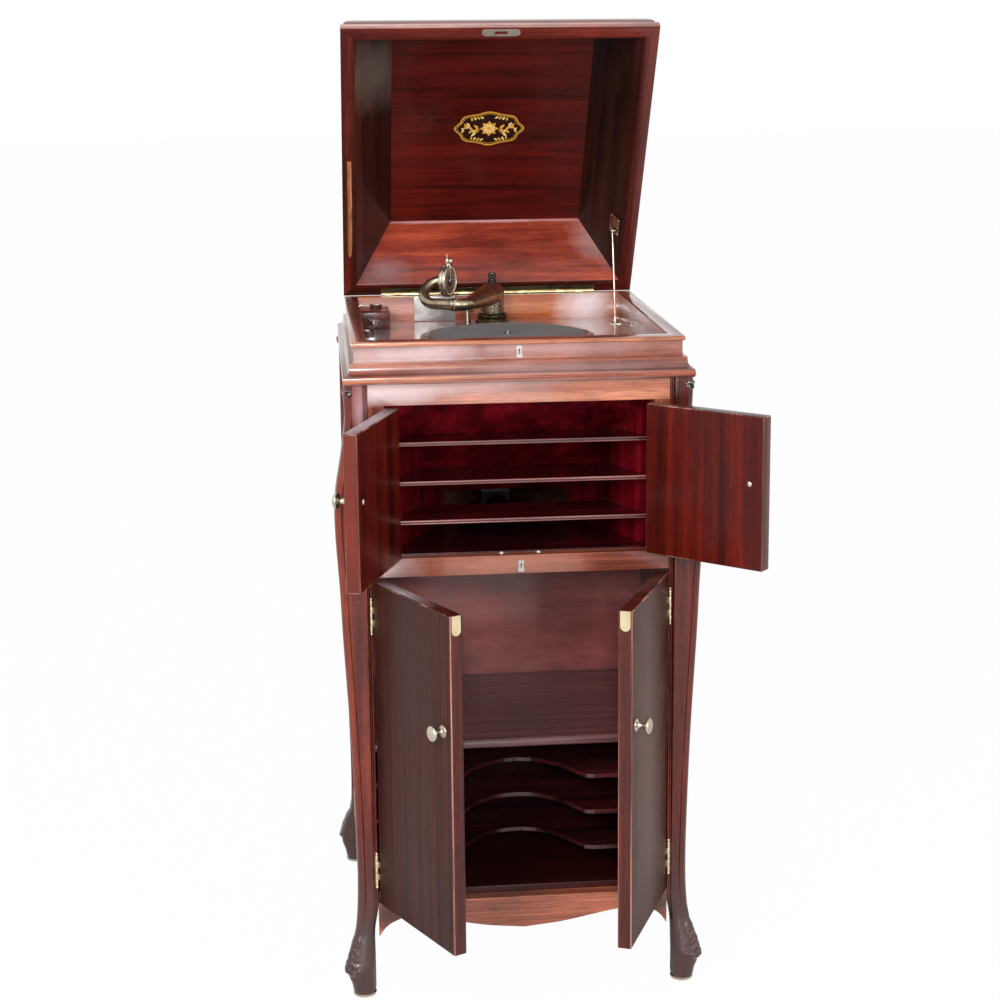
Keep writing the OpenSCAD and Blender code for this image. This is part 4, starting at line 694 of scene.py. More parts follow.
def carve(look, z, away):
    # How far the leaf on the foot's outer corner stands out; away is the angle from the corner
    low, high = look["leafLow"], look["leafHigh"]
    if not low - 14 < z < high:
        return 0.0
    share = (high - z) / (high - low)
    lobe = abs(math.sin(math.pi * (z - low) / look["scallop"]))
    edge = (12 + 30 * share) * (0.72 + 0.28 * lobe)
    inside = easeStep(edge + 6, edge - 6, abs(away)) * easeStep(high, high - 26, z)
    inside *= easeStep(low - 3, low + 4, z)
    rib = 0.9 * hump(away, 4) - 0.8 * hump(abs(away) - 9, 3)
    veins = 0.5 * math.sin(2 * math.pi * (z / 9.5 + abs(away) / 26))
    dimple = -1.8 * hump(abs(away) - edge * 0.62, 6) * (1 - lobe) ** 2
    dish = 0.0022 * away * away
    curl = 2.4 * hump(z - low - 2 - dish, 3.2) * easeStep(82, 60, abs(away))
    under = -1.3 * hump(z - low + 6 - dish, 3.0) * easeStep(86, 60, abs(away))
    leaf = look["leafDepth"] * (0.5 + 0.5 * share) + (rib + veins + dimple) * share
    return inside * leaf + curl + under


def addPost(mesh, look, turn, flip, atRear):
    sideLine = throughPoints(look["rearSide" if atRear else "side"], look["lineSteps"])
    frontLine = throughPoints(look["rearFace" if atRear else "frontOut"], look["lineSteps"])
    heights = [look["foot"] + look["fineStep"] * k for k in range(look["fineRows"])]
    while heights[-1] < look["top"] - look["coarseStep"] - 1:
        heights.append(heights[-1] + look["coarseStep"])
    heights.append(look["top"])
    power = look["roundPower"]
    rings = []
    for z in heights:
        points, (x0, x1, y0, y1) = postSection(look, z, sideLine, frontLine)
        roundness = easeStep(look["roundBelow"][1], look["roundBelow"][0], z)
        middle = Vector(((x0 + x1) / 2, (y0 + y1) / 2))
        halfX, halfY = (x1 - x0) / 2, (y1 - y0) / 2
        ring = []
        for x, y in points:
            away = Vector((x, y)) - middle
            angle = math.atan2(away.y, away.x)
            reach = (abs(math.cos(angle) / halfX) ** power
                     + abs(math.sin(angle) / halfY) ** power) ** (-1 / power)
            reach *= 1 - look["footIn"] * easeStep(look["foot"] + 8, look["foot"], z)
            soft = middle + reach * Vector((math.cos(angle), math.sin(angle)))
            spot = Vector((x, y)).lerp(soft, roundness)
            fromCorner = (math.degrees(angle) + 45 + 180) % 360 - 180
            spot += away.normalized() * carve(look, z, fromCorner)
            ring.append(mesh.verts.new(turn @ Vector((spot.x, spot.y, z))))
        rings.append(ring)
    faces = skinRings(mesh, rings)
    faces.append(mesh.faces.new(list(reversed(rings[0]))))
    faces.append(mesh.faces.new(rings[-1]))
    faces += addCapital(mesh, look, turn)
    if flip:
        bmesh.ops.reverse_faces(mesh, faces=faces)


def addCapital(mesh, look, turn):
    # The carved bud at the top of the corner column
    radius, inset = look["capitalRadius"], look["capitalIn"]
    centre = Vector((look["outer"] - inset, look["front"] + inset, look["capital"]))
    rows, count = look["capitalGrid"]
    grid = []
    for i in range(rows + 1):
        lift = math.pi * (i / rows - 0.5)
        row = []
        for k in range(count):
            around = 2 * math.pi * k / count
            twist = 0.10 * math.sin(5 * around + 3.2 * lift) * math.cos(lift)
            out = radius * (1 + twist - 0.09 * hump(lift, 0.16)) * math.cos(lift)
            spot = Vector((out * math.cos(around), out * math.sin(around), radius * 1.12 * math.sin(lift)))
            row.append(mesh.verts.new(turn @ (centre + spot)))
        grid.append(row)
    faces = skinRings(mesh, grid)
    for face in faces:
        face.material_index = 1
    return faces


def addPosts(look):
    depth = cabinetBox("waist_moulding")[1].y
    mesh = bmesh.new()
    for mirrorX in (1, -1):
        for mirrorY in (1, -1):
            shift = Matrix.Translation((0, 0 if mirrorY > 0 else depth, 0))
            turn = shift @ Matrix.Diagonal((mirrorX, mirrorY, 1, 1))
            addPost(mesh, look, turn, mirrorX * mirrorY < 0, mirrorY < 0)
    bmesh.ops.remove_doubles(mesh, verts=mesh.verts, dist=0.01)
    addPiece("cornerPosts", mesh, "cabinet", [wood("post"), wood("capital")], replaces=["posts"],
             sharp=48)


addPosts(postLook)
print("posts made")


# Waist moulding and motor box

caseLow, caseHigh = cabinetBox("motor_box")
waistLow, waistHigh = cabinetBox("waist_moulding")

# Profiles are (how far out, how high) from the node's own faces
waistLook = {
    "profile": [(-6, 0), (-2.4, 0), (-1.0, 1.2), (-0.3, 3), (0, 5.5), (0, 8), (-0.5, 10.4), (-1.4, 12),
                (-2.6, 12.7), (-4, 13), (-6.4, 14.2), (-8.5, 16), (-9.8, 19), (-10.5, 23), (-11.0, 27)],
    # The waist's lower band takes the paler moulding wood, a painted highlight
    "top": (-11.2, -16.3), "highlitRows": (3, 4, 5),
}
boxLook = {
    # The top bead takes the paler moulding wood, a painted highlight
    "beadOut": 3.8, "beadHeight": 7.0, "well": (224.3, 45.1, 536.6), "highlitRows": (4, 5, 6, 7, 8),
    "below": 12.0, "boardBelow": 8.0,
}


def outward(low, high, profile):
    return [(low.x - out, high.x + out, low.y - out, high.y + out, z) for out, z in profile]


def addWaist(look):
    profile = [(out, waistLow.z + up) for out, up in look["profile"]]
    profile += [(out, waistHigh.z) for out in look["top"]]
    mesh = bmesh.new()
    ringLoft(mesh, outward(waistLow, waistHigh, profile), lambda number, k: int(number in look["highlitRows"]))
    addPiece("waistMoulding", mesh, "cabinet", [wood("rail"), wood("moulding")], grain=bySide(mesh),
             replaces=["waist_moulding"], sharp=50)


def addMotorBox(look):
    wellX, wellFront, wellRear = look["well"]
    top, wall = caseHigh.z, -look["beadOut"]
    bead = top - look["beadHeight"]
    floorZ = cabinetBox("motor_board")[1].z
    outer = [(wall, waistHigh.z - look["below"]), (wall, waistHigh.z + 1.2), (wall, bead - 1.0),
             (wall + 0.5, bead + 0.1), (-1.2, bead + 0.3), (-0.3, bead + 1.2),
             (0, top - look["beadHeight"] / 2), (-0.3, top - 1.6), (-1.0, top - 0.5), (-2.2, top)]
    inner = [(2.2, top), (0.8, top - 0.5), (0.0, top - 2.2), (0.0, floorZ - look["boardBelow"])]
    rects = outward(caseLow, caseHigh, outer)
    rects += [(-wellX - out, wellX + out, wellFront - out, wellRear + out, z) for out, z in inner]

    def materialOf(number, k):
        if number >= len(outer):
            return 3 if k == 2 else 2
        return int(number in look["highlitRows"])

    mesh = bmesh.new()
    ringLoft(mesh, rects, materialOf)
    addPiece("motorBoxWalls", mesh, "cabinet",
             [wood("boxOut"), wood("moulding"), wood("box"), wood("wellRear")], grain=bySide(mesh),
             replaces=["motor_box"], sharp=50)


addWaist(waistLook)
addMotorBox(boxLook)
print("waist moulding and motor box made")


# Doors with their knobs

doorLook = {
    "lower": {"edge": 222.5, "face": 14.0, "thick": 20.8, "z": (149.0, 662.6), "knobZ": 487.0},
    "upper": {"edge": 200.2, "face": 16.3, "thick": 20.8, "z": (697.3, 925.5), "knobZ": 825.0},
    "meet": 1.0, "radius": 1.6, "knobIn": 24.0,
    "knob": [(0, 0), (9.2, 0), (9.5, 0.3), (9.4, 1.2), (8.4, 1.9), (7.6, 2.2), (7.2, 2.8), (5.4, 3.2),
             (4.5, 4.2), (4.0, 5.8), (3.9, 8), (4.1, 10.5), (4.8, 12.6), (6.4, 14.2), (9.2, 15.4),
             (11.2, 16.2), (12, 17.4), (12, 19.2), (11.3, 20.6), (9.6, 21.9), (7.4, 22.9), (4.4, 23.7),
             (0, 24)],
    "screw": [(0, 0), (4.4, 0), (4.3, 0.5), (3.8, 1.2), (2.6, 1.8), (1.2, 2.05), (0, 2.1)],
}


def swung(level, side):
    # From the closed right door to this one as it stands open
    spot, joint = jointAt(f"{side}_{level}_door_hinge")
    opened = -joint["range_deg"][0]
    axis = Vector((abs(spot.x), spot.y, 0))
    turn = Matrix.Translation(axis) @ Matrix.Rotation(rad(opened), 4, "Z") @ Matrix.Translation(-axis)
    return Matrix.Diagonal((-1 if side == "left" else 1, 1, 1, 1)) @ turn


def addDoor(level, side):
    look = doorLook[level]
    low = Vector((doorLook["meet"], look["face"], look["z"][0]))
    high = Vector((look["edge"], look["face"] + look["thick"], look["z"][1]))
    mesh = bmesh.new()
    edge, rounded = 2, 3
    roundedBlock(mesh, low, high, doorLook["radius"], 3, worn=rounded)
    mesh.normal_update()
    for face in mesh.faces:
        if face.material_index == rounded:
            continue
        if abs(face.normal.y) > 0.9:
            face.material_index = int(face.normal.y > 0)
        else:
            face.material_index = edge
    materials = [wood("doorOut"), wood("doorIn"), wood("doorEdge"), wood("doorRoundWearAndHighlight")]
    addPiece(f"{side}{level.title()}DoorPanel", mesh, f"{side}_{level}_door", materials,
             turn=swung(level, side), replaces=[f"{side}_{level}_door"],
             sharp=60)


def addKnob(level, side):
    look = doorLook[level]
    outside = Matrix.Translation((doorLook["knobIn"], look["face"], look["knobZ"]))
    inside = Matrix.Translation((doorLook["knobIn"], look["face"] + look["thick"], look["knobZ"]))
    mesh = bmesh.new()
    lathe(mesh, doorLook["knob"], outside @ Matrix.Rotation(rad(90), 4, "X"), 56)
    lathe(mesh, doorLook["screw"], inside @ Matrix.Rotation(rad(-90), 4, "X"), 32)
    addPiece(f"{side}{level.title()}Knob", mesh, f"{side}_{level}_door", [nickel],
             turn=swung(level, side), replaces=[f"{side}_{level}_knob"], sharp=50)


for level in ("lower", "upper"):
    for side in ("left", "right"):
        addDoor(level, side)
        addKnob(level, side)
print("doors and knobs made")


# Lid: four leaning walls round a flat top, seen open

lidSpot, lidJoint = jointAt("lid_hinge")
lidOpen = -lidJoint["range_deg"][0]
lidTurn = Matrix.Translation(lidSpot) @ Matrix.Rotation(rad(-lidOpen), 4, "X")
lidLook = {
    "half": 247.5, "depth": 539.0, "hollow": 108.7, "topThick": 9.3, "gap": 0.4,
    "rim": (21.2, 20.0, 22.5), "lean": (63.0, 76.0, 50.5),
    "shape": [(0, 0.4), (0.2, 12.6), (0.9, 13.7), (2.2, 14), (4.2, 14.1), (5.0, 14.6), (5.3, 17),
              (5.5, 24), (9.3, 34), (16, 46), (25.2, 60.2), (36, 76), (45.8, 90.6), (54, 103),
              (60.6, 111.8), (64.0, 116.6), (67.5, 118)],
    "hollowShape": ((0.0, 1.2), (0.012, 0.2), (0.03, 0.0), (1.0, 0.0)), "edgeRows": 4,
}


def addLid(look):
    half, depth, gap = look["half"], look["depth"], look["gap"]
    side, front, rear = look["rim"]
    leanSide, leanFront, leanRear = look["lean"]
    top = look["hollow"] + look["topThick"]
    outer = [(-half + out, half - out, -depth + out, -out, z) for out, z in look["shape"]]
    inner = []
    for share, out in look["hollowShape"]:
        inner.append((-half + side + leanSide * share - out, half - side - leanSide * share + out,
                      -depth + front + leanFront * share - out, -rear - leanRear * share + out,
                      gap + (look["hollow"] - gap) * share))
    mesh = bmesh.new()
    wallCount = len(outer) - 1

    def materialOf(number, k):
        if number < wallCount:
            return 4 if number >= wallCount - look["edgeRows"] else 0
        if number < wallCount + 2:
            return 1
        return 2 if k % 2 else 3

    ringLoft(mesh, outer[::-1] + inner, materialOf)
    materials = [wood(kind) for kind in ("lidOut", "lidRim", "lidSide", "lidRear", "lidLipWearAndHighlight")]
    addPiece("lidWalls", mesh, "lid", materials, turn=lidTurn, grain=bySide(mesh),
             replaces=["lid_frame"], sharp=50)
    mesh = bmesh.new()
    x, z = half - side - leanSide, look["hollow"]
    y0, y1 = -depth + front + leanFront, -rear - leanRear
    mesh.faces.new([mesh.verts.new(p) for p in ((-x, y0, z), (-x, y1, z), (x, y1, z), (x, y0, z))])
    x0, x1, y0, y1, _ = outer[-1]
    skin = [mesh.verts.new((x, y, top)) for x, y in ((x0, y0), (x1, y0), (x1, y1), (x0, y1))]
    mesh.faces.new(skin).material_index = 1
    addPiece("lidTop", mesh, "lid", [wood("ceiling"), wood("lidOut")], turn=lidTurn, grain="x",
             replaces=["lid_top"])


addLid(lidLook)


# Gold ornament on the lid's ceiling: a rosette between two leafy sprays on a dark oval

ornamentLook = {
    "centre": (0.0, -268.0), "half": (56.0, 33.0), "thick": 0.08, "steps": 96, "button": 3.8,
    "lobes": 8, "lobeDepth": 0.045, "borders": ((0.0, 2.2), (4.0, 4.8)),
    # Petals: how many, length, width, turn, how far in front and material
    "petals": ((8, 15.5, 4.4, 0.0, 0.0, 0), (8, 11.0, 2.6, 0.39, 0.03, 1)),
    # In each pair a start and the change to the far end, or from leaf to leaf for rimLeaves
    "spray": {"pairs": 6, "out": (18, 24), "length": (11, -4.5), "width": (2.9, -1), "lean": 0.8,
              "wave": 9.5, "waveTurns": 2.2, "waveLoss": 0.4},
    "stem": {"steps": 24, "out": (15, 31), "half": 0.8},
    "rimLeaves": {"count": 4, "out": (9, 6.5), "rise": (20.5, -1.7), "lean": (0.5, 0.3),
                  "length": 7.5, "width": 2.0},
}


def flatShape(mesh, outline, z, thick, material=0):
    low = [mesh.verts.new((x, y, z)) for x, y in outline]
    high = [mesh.verts.new((x, y, z - thick)) for x, y in outline]
    faces = [mesh.faces.new(low), mesh.faces.new(list(reversed(high)))]
    for k in range(len(outline)):
        n = (k + 1) % len(outline)
        faces.append(mesh.faces.new([low[n], low[k], high[k], high[n]]))
    for face in faces:
        face.material_index = material


def leafOutline(x, y, angle, length, width):
    points = []
    for k in range(15):
        t = k / 14
        points.append((t * length, width * math.sin(math.pi * t) ** 0.8 * (1 - 0.35 * t)))
    points += [(px, -py) for px, py in reversed(points[1:-1])]
    c, s = math.cos(angle), math.sin(angle)
    return [(x + px * c - py * s, y + px * s + py * c) for px, py in points]


def wavedOval(look, inset, k, steps):
    a = 2 * math.pi * k / steps
    lobe = 1 + look["lobeDepth"] * math.cos(look["lobes"] * a)
    return (look["centre"][0] + (look["half"][0] - inset) * lobe * math.cos(a),
            look["centre"][1] + (look["half"][1] - inset) * lobe * math.sin(a))


def grown(pair, share):
    return pair[0] + pair[1] * share


def addOrnament(look):
    mesh = bmesh.new()
    cx, cy = look["centre"]
    thick, steps = look["thick"], look["steps"]
    z = lidLook["hollow"] - 0.02
    flatShape(mesh, [wavedOval(look, 0, k, steps) for k in range(steps)], z, thick, 2)
    for first, second in look["borders"]:
        for k in range(steps):
            corners = [wavedOval(look, first, k, steps), wavedOval(look, first, k + 1, steps),
                       wavedOval(look, second, k + 1, steps), wavedOval(look, second, k, steps)]
            flatShape(mesh, corners, z - thick, thick)
    z -= thick
    for count, length, width, turn, lift, material in look["petals"]:
        for k in range(count):
            angle = 2 * math.pi * k / count + turn
            flatShape(mesh, leafOutline(cx, cy, angle, length, width), z - lift, thick, material)
    flatShape(mesh, circle(look["button"], 24, cx, cy), z - 0.06, thick)

    spray, stem, rimLeaves = look["spray"], look["stem"], look["rimLeaves"]

    def sprayY(t):
        wave = spray["wave"] * math.sin(spray["waveTurns"] * math.pi * t)
        return cy + wave * (1 - spray["waveLoss"] * t)

    for side in (-1, 1):
        straight = 0 if side > 0 else math.pi
        for k in range(spray["pairs"]):
            t = k / (spray["pairs"] - 1)
            for lean in (-spray["lean"], spray["lean"]):
                leaf = leafOutline(cx + side * grown(spray["out"], t), sprayY(t), straight + side * lean,
                                   grown(spray["length"], t), grown(spray["width"], t))
                flatShape(mesh, leaf, z - 0.02, thick, k % 2)
        line = []
        for k in range(stem["steps"] + 1):
            t = k / stem["steps"]
            line.append((cx + side * grown(stem["out"], t), sprayY(t)))
        upper = [(px, py + stem["half"]) for px, py in line]
        lower = [(px, py - stem["half"]) for px, py in reversed(line)]
        flatShape(mesh, upper + lower, z - 0.01, thick)
        for rise in (-1, 1):
            for k in range(rimLeaves["count"]):
                leaf = leafOutline(cx + side * grown(rimLeaves["out"], k),
                                   cy + rise * grown(rimLeaves["rise"], k),
                                   straight + side * rise * grown(rimLeaves["lean"], k),
                                   rimLeaves["length"], rimLeaves["width"])
                flatShape(mesh, leaf, z - 0.015, thick, (k + 1) % 2)
    bmesh.ops.recalc_face_normals(mesh, faces=mesh.faces)
    addPiece("lidOrnament", mesh, "lid", [goldPaint, paleGold, darkGround], turn=lidTurn, sharp=30)


# The strip of the left rim that has lost its veneer
wearLook = {
    "outline": [(-239.5, -286), (-232.5, -286), (-232, -180), (-232.4, -112), (-234, -90), (-236.5, -84),
                (-239, -92), (-240, -120), (-239.2, -200)],
    "high": 0.42, "thick": 0.12,
}


def addRimWear(look):
    mesh = bmesh.new()
    flatShape(mesh, look["outline"], look["high"], look["thick"])
    bmesh.ops.recalc_face_normals(mesh, faces=mesh.faces)
    addPiece("lidRimWear", mesh, "lid", [wood("bareWood")], turn=lidTurn, grain="y")


hingeLook = {"deep": (-13.5, -1.5), "low": 0.12, "thick": 0.28, "screws": 7, "screwRadius": 2.0}


def addHingeFace(look):
    # The face of the long hinge's leaf, let into the lid's rear rim
    low, high = cabinetBox("lid_hinge_upper_leaf")
    y0, y1 = look["deep"]
    mesh = bmesh.new()
    flatShape(mesh, [(low.x, y0), (high.x, y0), (high.x, y1), (low.x, y1)], look["low"] + look["thick"],
              look["thick"])
    for k in range(look["screws"]):
        x = low.x + (high.x - low.x) * (k + 0.5) / look["screws"]
        flatShape(mesh, circle(look["screwRadius"], 16, x, (y0 + y1) / 2), look["low"] + 0.02, 0.05, 1)
    bmesh.ops.recalc_face_normals(mesh, faces=mesh.faces)
    addPiece("lidHingeFace", mesh, "lid", [brass, steel], turn=lidTurn)


addHingeFace(hingeLook)
addRimWear(wearLook)
addOrnament(ornamentLook)
print("lid made")


# Turntable

tableSpot = jointAt("turntable_spin")[0]
feltTop = cabinetBox("turntable_felt")[1].z
metalTop = cabinetBox("turntable")[1].z


# Profiles are (radius, height above the metal's top)
tableLook = {
    "rim": [(5.5, -4), (14, -4), (14, -2.6), (134, -2.5), (135, -7.5), (139, -7.5), (139.8, -6.9), (140, -6),
            (140, -1.8), (139.6, -0.7), (138.6, -0.1), (137.4, 0), (131, 0), (130, -0.25), (5.5, -0.25)],
    "clothEdge": [(5.5, -0.2), (126.6, -0.2), (127, 0.4), (126.9, 1.2), (126.2, 1.8)],
    # The cloth's top: radius and how far below its highest point
    "clothTop": [(124.5, 0.05), (90, 0.12), (50, 0.02), (8, 0.08), (6.0, 0.3), (5.5, 0.8)],
}


def addTurntable(look):
    turn = Matrix.Translation((tableSpot.x, tableSpot.y, metalTop))
    mesh = bmesh.new()
    lathe(mesh, look["rim"], turn, 160)
    addPiece("turntableDisc", mesh, "turntable", [nickel], replaces=["turntable"], sharp=40)
    height = feltTop - metalTop
    mesh = bmesh.new()
    lathe(mesh, look["clothEdge"] + [(radius, height - sunk) for radius, sunk in look["clothTop"]], turn, 128)
    addPiece("turntableCloth", mesh, "turntable", [felt], replaces=["turntable_felt"], sharp=60)


addTurntable(tableLook)
print("turntable made")


# Tone arm, gooseneck and soundbox

armSpot = jointAt("tone_arm_swing")[0]
armLook = {
    "heading": -111.2, "length": 136.3, "radius": 20.3, "tip": 10.4, "bend": 96.0, "bendRadius": 17.0,
    "neckLeg": 37.0, "neckBend": 25.0, "neckRadius": 9.5, "neckBack": 137.0,
    # The bell's foot: how high above the board it starts, then (how far out, how high)
    "footUp": 17, "foot": ((0.6, 0), (1.0, 0.8), (0.9, 2.4), (0, 3.2)),
    "collar": ((-5.5, -0.2), (-5.2, 0.5), (-4.8, 0.8), (-1.2, 0.8), (-0.6, 0.5), (-0.3, -0.6)),
    # The knurled cap and its button: (radius, height above the arm's dome)
    "cap": [(0, -0.9), (7.2, -0.9), (7.4, 0.4), (7.4, 1.6), (6.0, 2.4), (5.7, 4.6), (7.0, 5.4), (7.0, 12.4),
            (6.4, 13.2), (5.2, 13.4), (0, 13.4)],
    "button": [(0, 13.3), (5.0, 13.3), (5.2, 14.3), (4.4, 15.2), (2.4, 15.8), (0, 15.9)],
    "knurl": 48, "knurlSpan": (5.3, 12.6), "knurlFrom": 6.9, "knurlDeep": 0.55,
    # The gooseneck's rings: (place along its first leg, or past its last one's end, how far out)
    "neckRing": ((0.4, 0.2), (0.8, 1.2), (1.6, 1.5), (4.6, 1.5), (5.4, 1.2), (6.0, 0)),
    "neckCollar": ((4.4, 0), (4.0, 1.0), (3.2, 1.4), (0.4, 1.4), (-0.2, 1.0), (-1.7, 0.6)),
    "legThins": 0.6, "bendThins": 0.7,
}
boardTop = cabinetBox("motor_board")[1].z
armTurn = Matrix.Translation(armSpot) @ Matrix.Rotation(rad(armLook["heading"]), 4, "Z")


def unite(meshes):
    # One closed surface out of several that overlap
    objects = []
    for number, mesh in enumerate(meshes):
        mesh.normal_update()
        bmesh.ops.recalc_face_normals(mesh, faces=mesh.faces)
        data = bpy.data.meshes.new(f"part{number}")
        mesh.to_mesh(data)
        mesh.free()
        objects.append(inScene(f"part{number}", data))
    first = objects[0]
    for other in objects[1:]:
        cut = first.modifiers.new("join", "BOOLEAN")
        cut.operation = "UNION"
        cut.solver = "EXACT"
        cut.object = other
    bpy.context.view_layer.update()
    whole = bmesh.new()
    whole.from_mesh(first.evaluated_get(bpy.context.evaluated_depsgraph_get()).to_mesh())
    for part in objects:
        bpy.data.objects.remove(part)
    return whole


def addToneArm(look):
    radius, tip, length = look["radius"], look["tip"], look["length"]
    lean = math.asin((radius - tip) / length)
    start = radius * math.sin(lean)
    drop = boardTop + look["footUp"] - armSpot.z
    bell = bmesh.new()
    dome = [(radius * math.cos(a * math.pi / 32), radius * math.sin(a * math.pi / 32)) for a in range(17)]
    dome[-1] = (0, radius)
    foot = [(0, drop)] + [(radius + out, drop + up) for out, up in look["foot"]]
    lathe(bell, foot + dome, steps=64)
    arm = bmesh.new()
    path, radii = [], []
    for k in range(13):
        t = k / 12
        path.append(Vector((start + (length - start) * t, 0, 0)))
        radii.append(radius * math.cos(lean) + (tip - radius * math.cos(lean)) * t)
    for k in range(1, 21):
        a = rad(look["bend"]) * k / 20
        path.append(Vector((length + look["bendRadius"] * math.sin(a),
                            -look["bendRadius"] * (1 - math.cos(a)), 0)))
        radii.append(tip)
    tube(arm, path, radii, 48)
    whole = unite([bell, arm])
    addPiece("toneArmTube", whole, "tone_arm", [darkNickel], turn=armTurn, replaces=["tone_arm"],
             sharp=34)
    ahead = Vector((math.cos(rad(-look["bend"])), math.sin(rad(-look["bend"])), 0))
    collar = bmesh.new()
    ringPath = [path[-1] + ahead * d for d, _ in look["collar"]]
    tube(collar, ringPath, [tip + out for _, out in look["collar"]], 48)
    addPiece("toneArmCollar", collar, "tone_arm", [nickel], turn=armTurn)
    cap = bmesh.new()
    lathe(cap, [(r, radius + up) for r, up in look["cap"]], steps=look["knurl"])
    low, high = look["knurlSpan"]
    for vert in cap.verts:
        flat = Vector((vert.co.x, vert.co.y, 0))
        if radius + low < vert.co.z < radius + high and flat.length > look["knurlFrom"]:
            number = round(math.atan2(vert.co.y, vert.co.x) / (2 * math.pi) * look["knurl"])
            vert.co += flat.normalized() * (0.0 if number % 2 else -look["knurlDeep"])
    addPiece("toneArmCapScrew", cap, "tone_arm", [blackKnurl], turn=armTurn, sharp=20)
    button = bmesh.new()
    lathe(button, [(r, radius + up) for r, up in look["button"]], steps=40)
    addPiece("toneArmCapButton", button, "tone_arm", [nickel], turn=armTurn)


neckTip = Vector((armLook["length"] + armLook["bendRadius"] * math.sin(rad(armLook["bend"])),
                  -armLook["bendRadius"] * (1 - math.cos(rad(armLook["bend"]))), 0))
neckTurn = (armTurn @ Matrix.Translation(neckTip) @ Matrix.Rotation(rad(-armLook["bend"]), 4, "Z")
            @ Matrix.Rotation(rad(armLook["neckBack"]), 4, "X"))


def addGooseneck(look):
    leg, bend, radius = look["neckLeg"], look["neckBend"], look["neckRadius"]
    path = [Vector((x, 0, 0)) for x, _ in look["neckRing"]]
    radii = [radius + out for _, out in look["neckRing"]]
    start, thinner = look["neckRing"][-1][0], look["legThins"]
    path += [Vector((start + (leg - start) * k / 6, 0, 0)) for k in range(1, 7)]
    radii += [radius - thinner * k / 6 for k in range(1, 7)]
    for k in range(1, 37):
        a = math.pi * k / 36
        path.append(Vector((leg + bend * math.sin(a), bend - bend * math.cos(a), 0)))
        radii.append(radius - thinner - look["bendThins"] * math.sin(a / 2))
    mesh = bmesh.new()
    tube(mesh, path, radii, 40)
    addPiece("gooseneckTube", mesh, "gooseneck", [darkNickel], turn=neckTurn, replaces=["gooseneck"],
             sharp=34)
    collar = bmesh.new()
    ends = [Vector((leg + past, 2 * bend, 0)) for past, _ in look["neckCollar"]]
    tube(collar, ends, [radius + out for _, out in look["neckCollar"]], 40)
    addPiece("gooseneckCollar", collar, "gooseneck", [nickel], turn=neckTurn)


soundboxLook = {
    "radius": 27.0, "thick": 13.0, "inNeck": 1.8, "needleLean": 54.0, "needleReach": 45.7,
    # The back is (radius, height), and the side is (how far in from the edge, height)
    "back": [(0, 0), (12, 0), (12.4, 0.9), (14.5, 1.1), (15, 0.5), (20, 0.6), (20.6, 1.4), (23.4, 1.6)],
    "side": [(2.2, 1.0), (0.8, 1.6), (0.1, 3.0), (0, 4.6), (0.7, 5.4), (0.7, 7.4), (0, 8.2)],
    # These are (how far in from the edge, how far below the front)
    "front": [(0, 2.4), (0.3, 1.1), (1.2, 0.3), (2.2, 0.05), (3.0, 0.3), (3.3, 1.2)],
    "gasket": [(3.2, 2.4), (3.3, 0.9), (3.9, 0.4), (5.0, 0.5), (5.8, 1.2), (6.0, 2.6)],
    "micaEdge": [(5.7, 2.3)],
    # These are (radius, how far below the front); the rivet is at the foot of the needle bar
    "floor": [(0, 2.9)], "mica": [(12, 2.2), (3, 2.1), (0, 2.1)],
    "rivet": [(0, 2.2), (2.6, 2.1), (2.5, 1.2), (1.6, 0.5), (0, 0.3)],
    # The needle bar: (place from the centre, or past the edge, how far below the front, its radius)
    "barInside": [(1.5, 0.9, 0.9), (8, 0.5, 1.0), (16, 0.1, 1.1), (22, 0.1, 1.3)],
    "barPast": [(0, 1.6, 1.6), (2, 3.6, 1.9)],
    # The clamp and the needle in it: (radius, how far out along the needle)
    "clamp": [(0, -2), (2.6, -2), (3.0, -1.2), (3.0, 7.6), (2.6, 8.6), (1.3, 9.0), (0, 9.0)],
    "needle": [(0, 4), (0.85, 4), (0.85, 12.5), (0.6, 14.5)], "needlePoint": 0.15,
    "clampOut": 1.0, "clampBelow": 4.5,
}


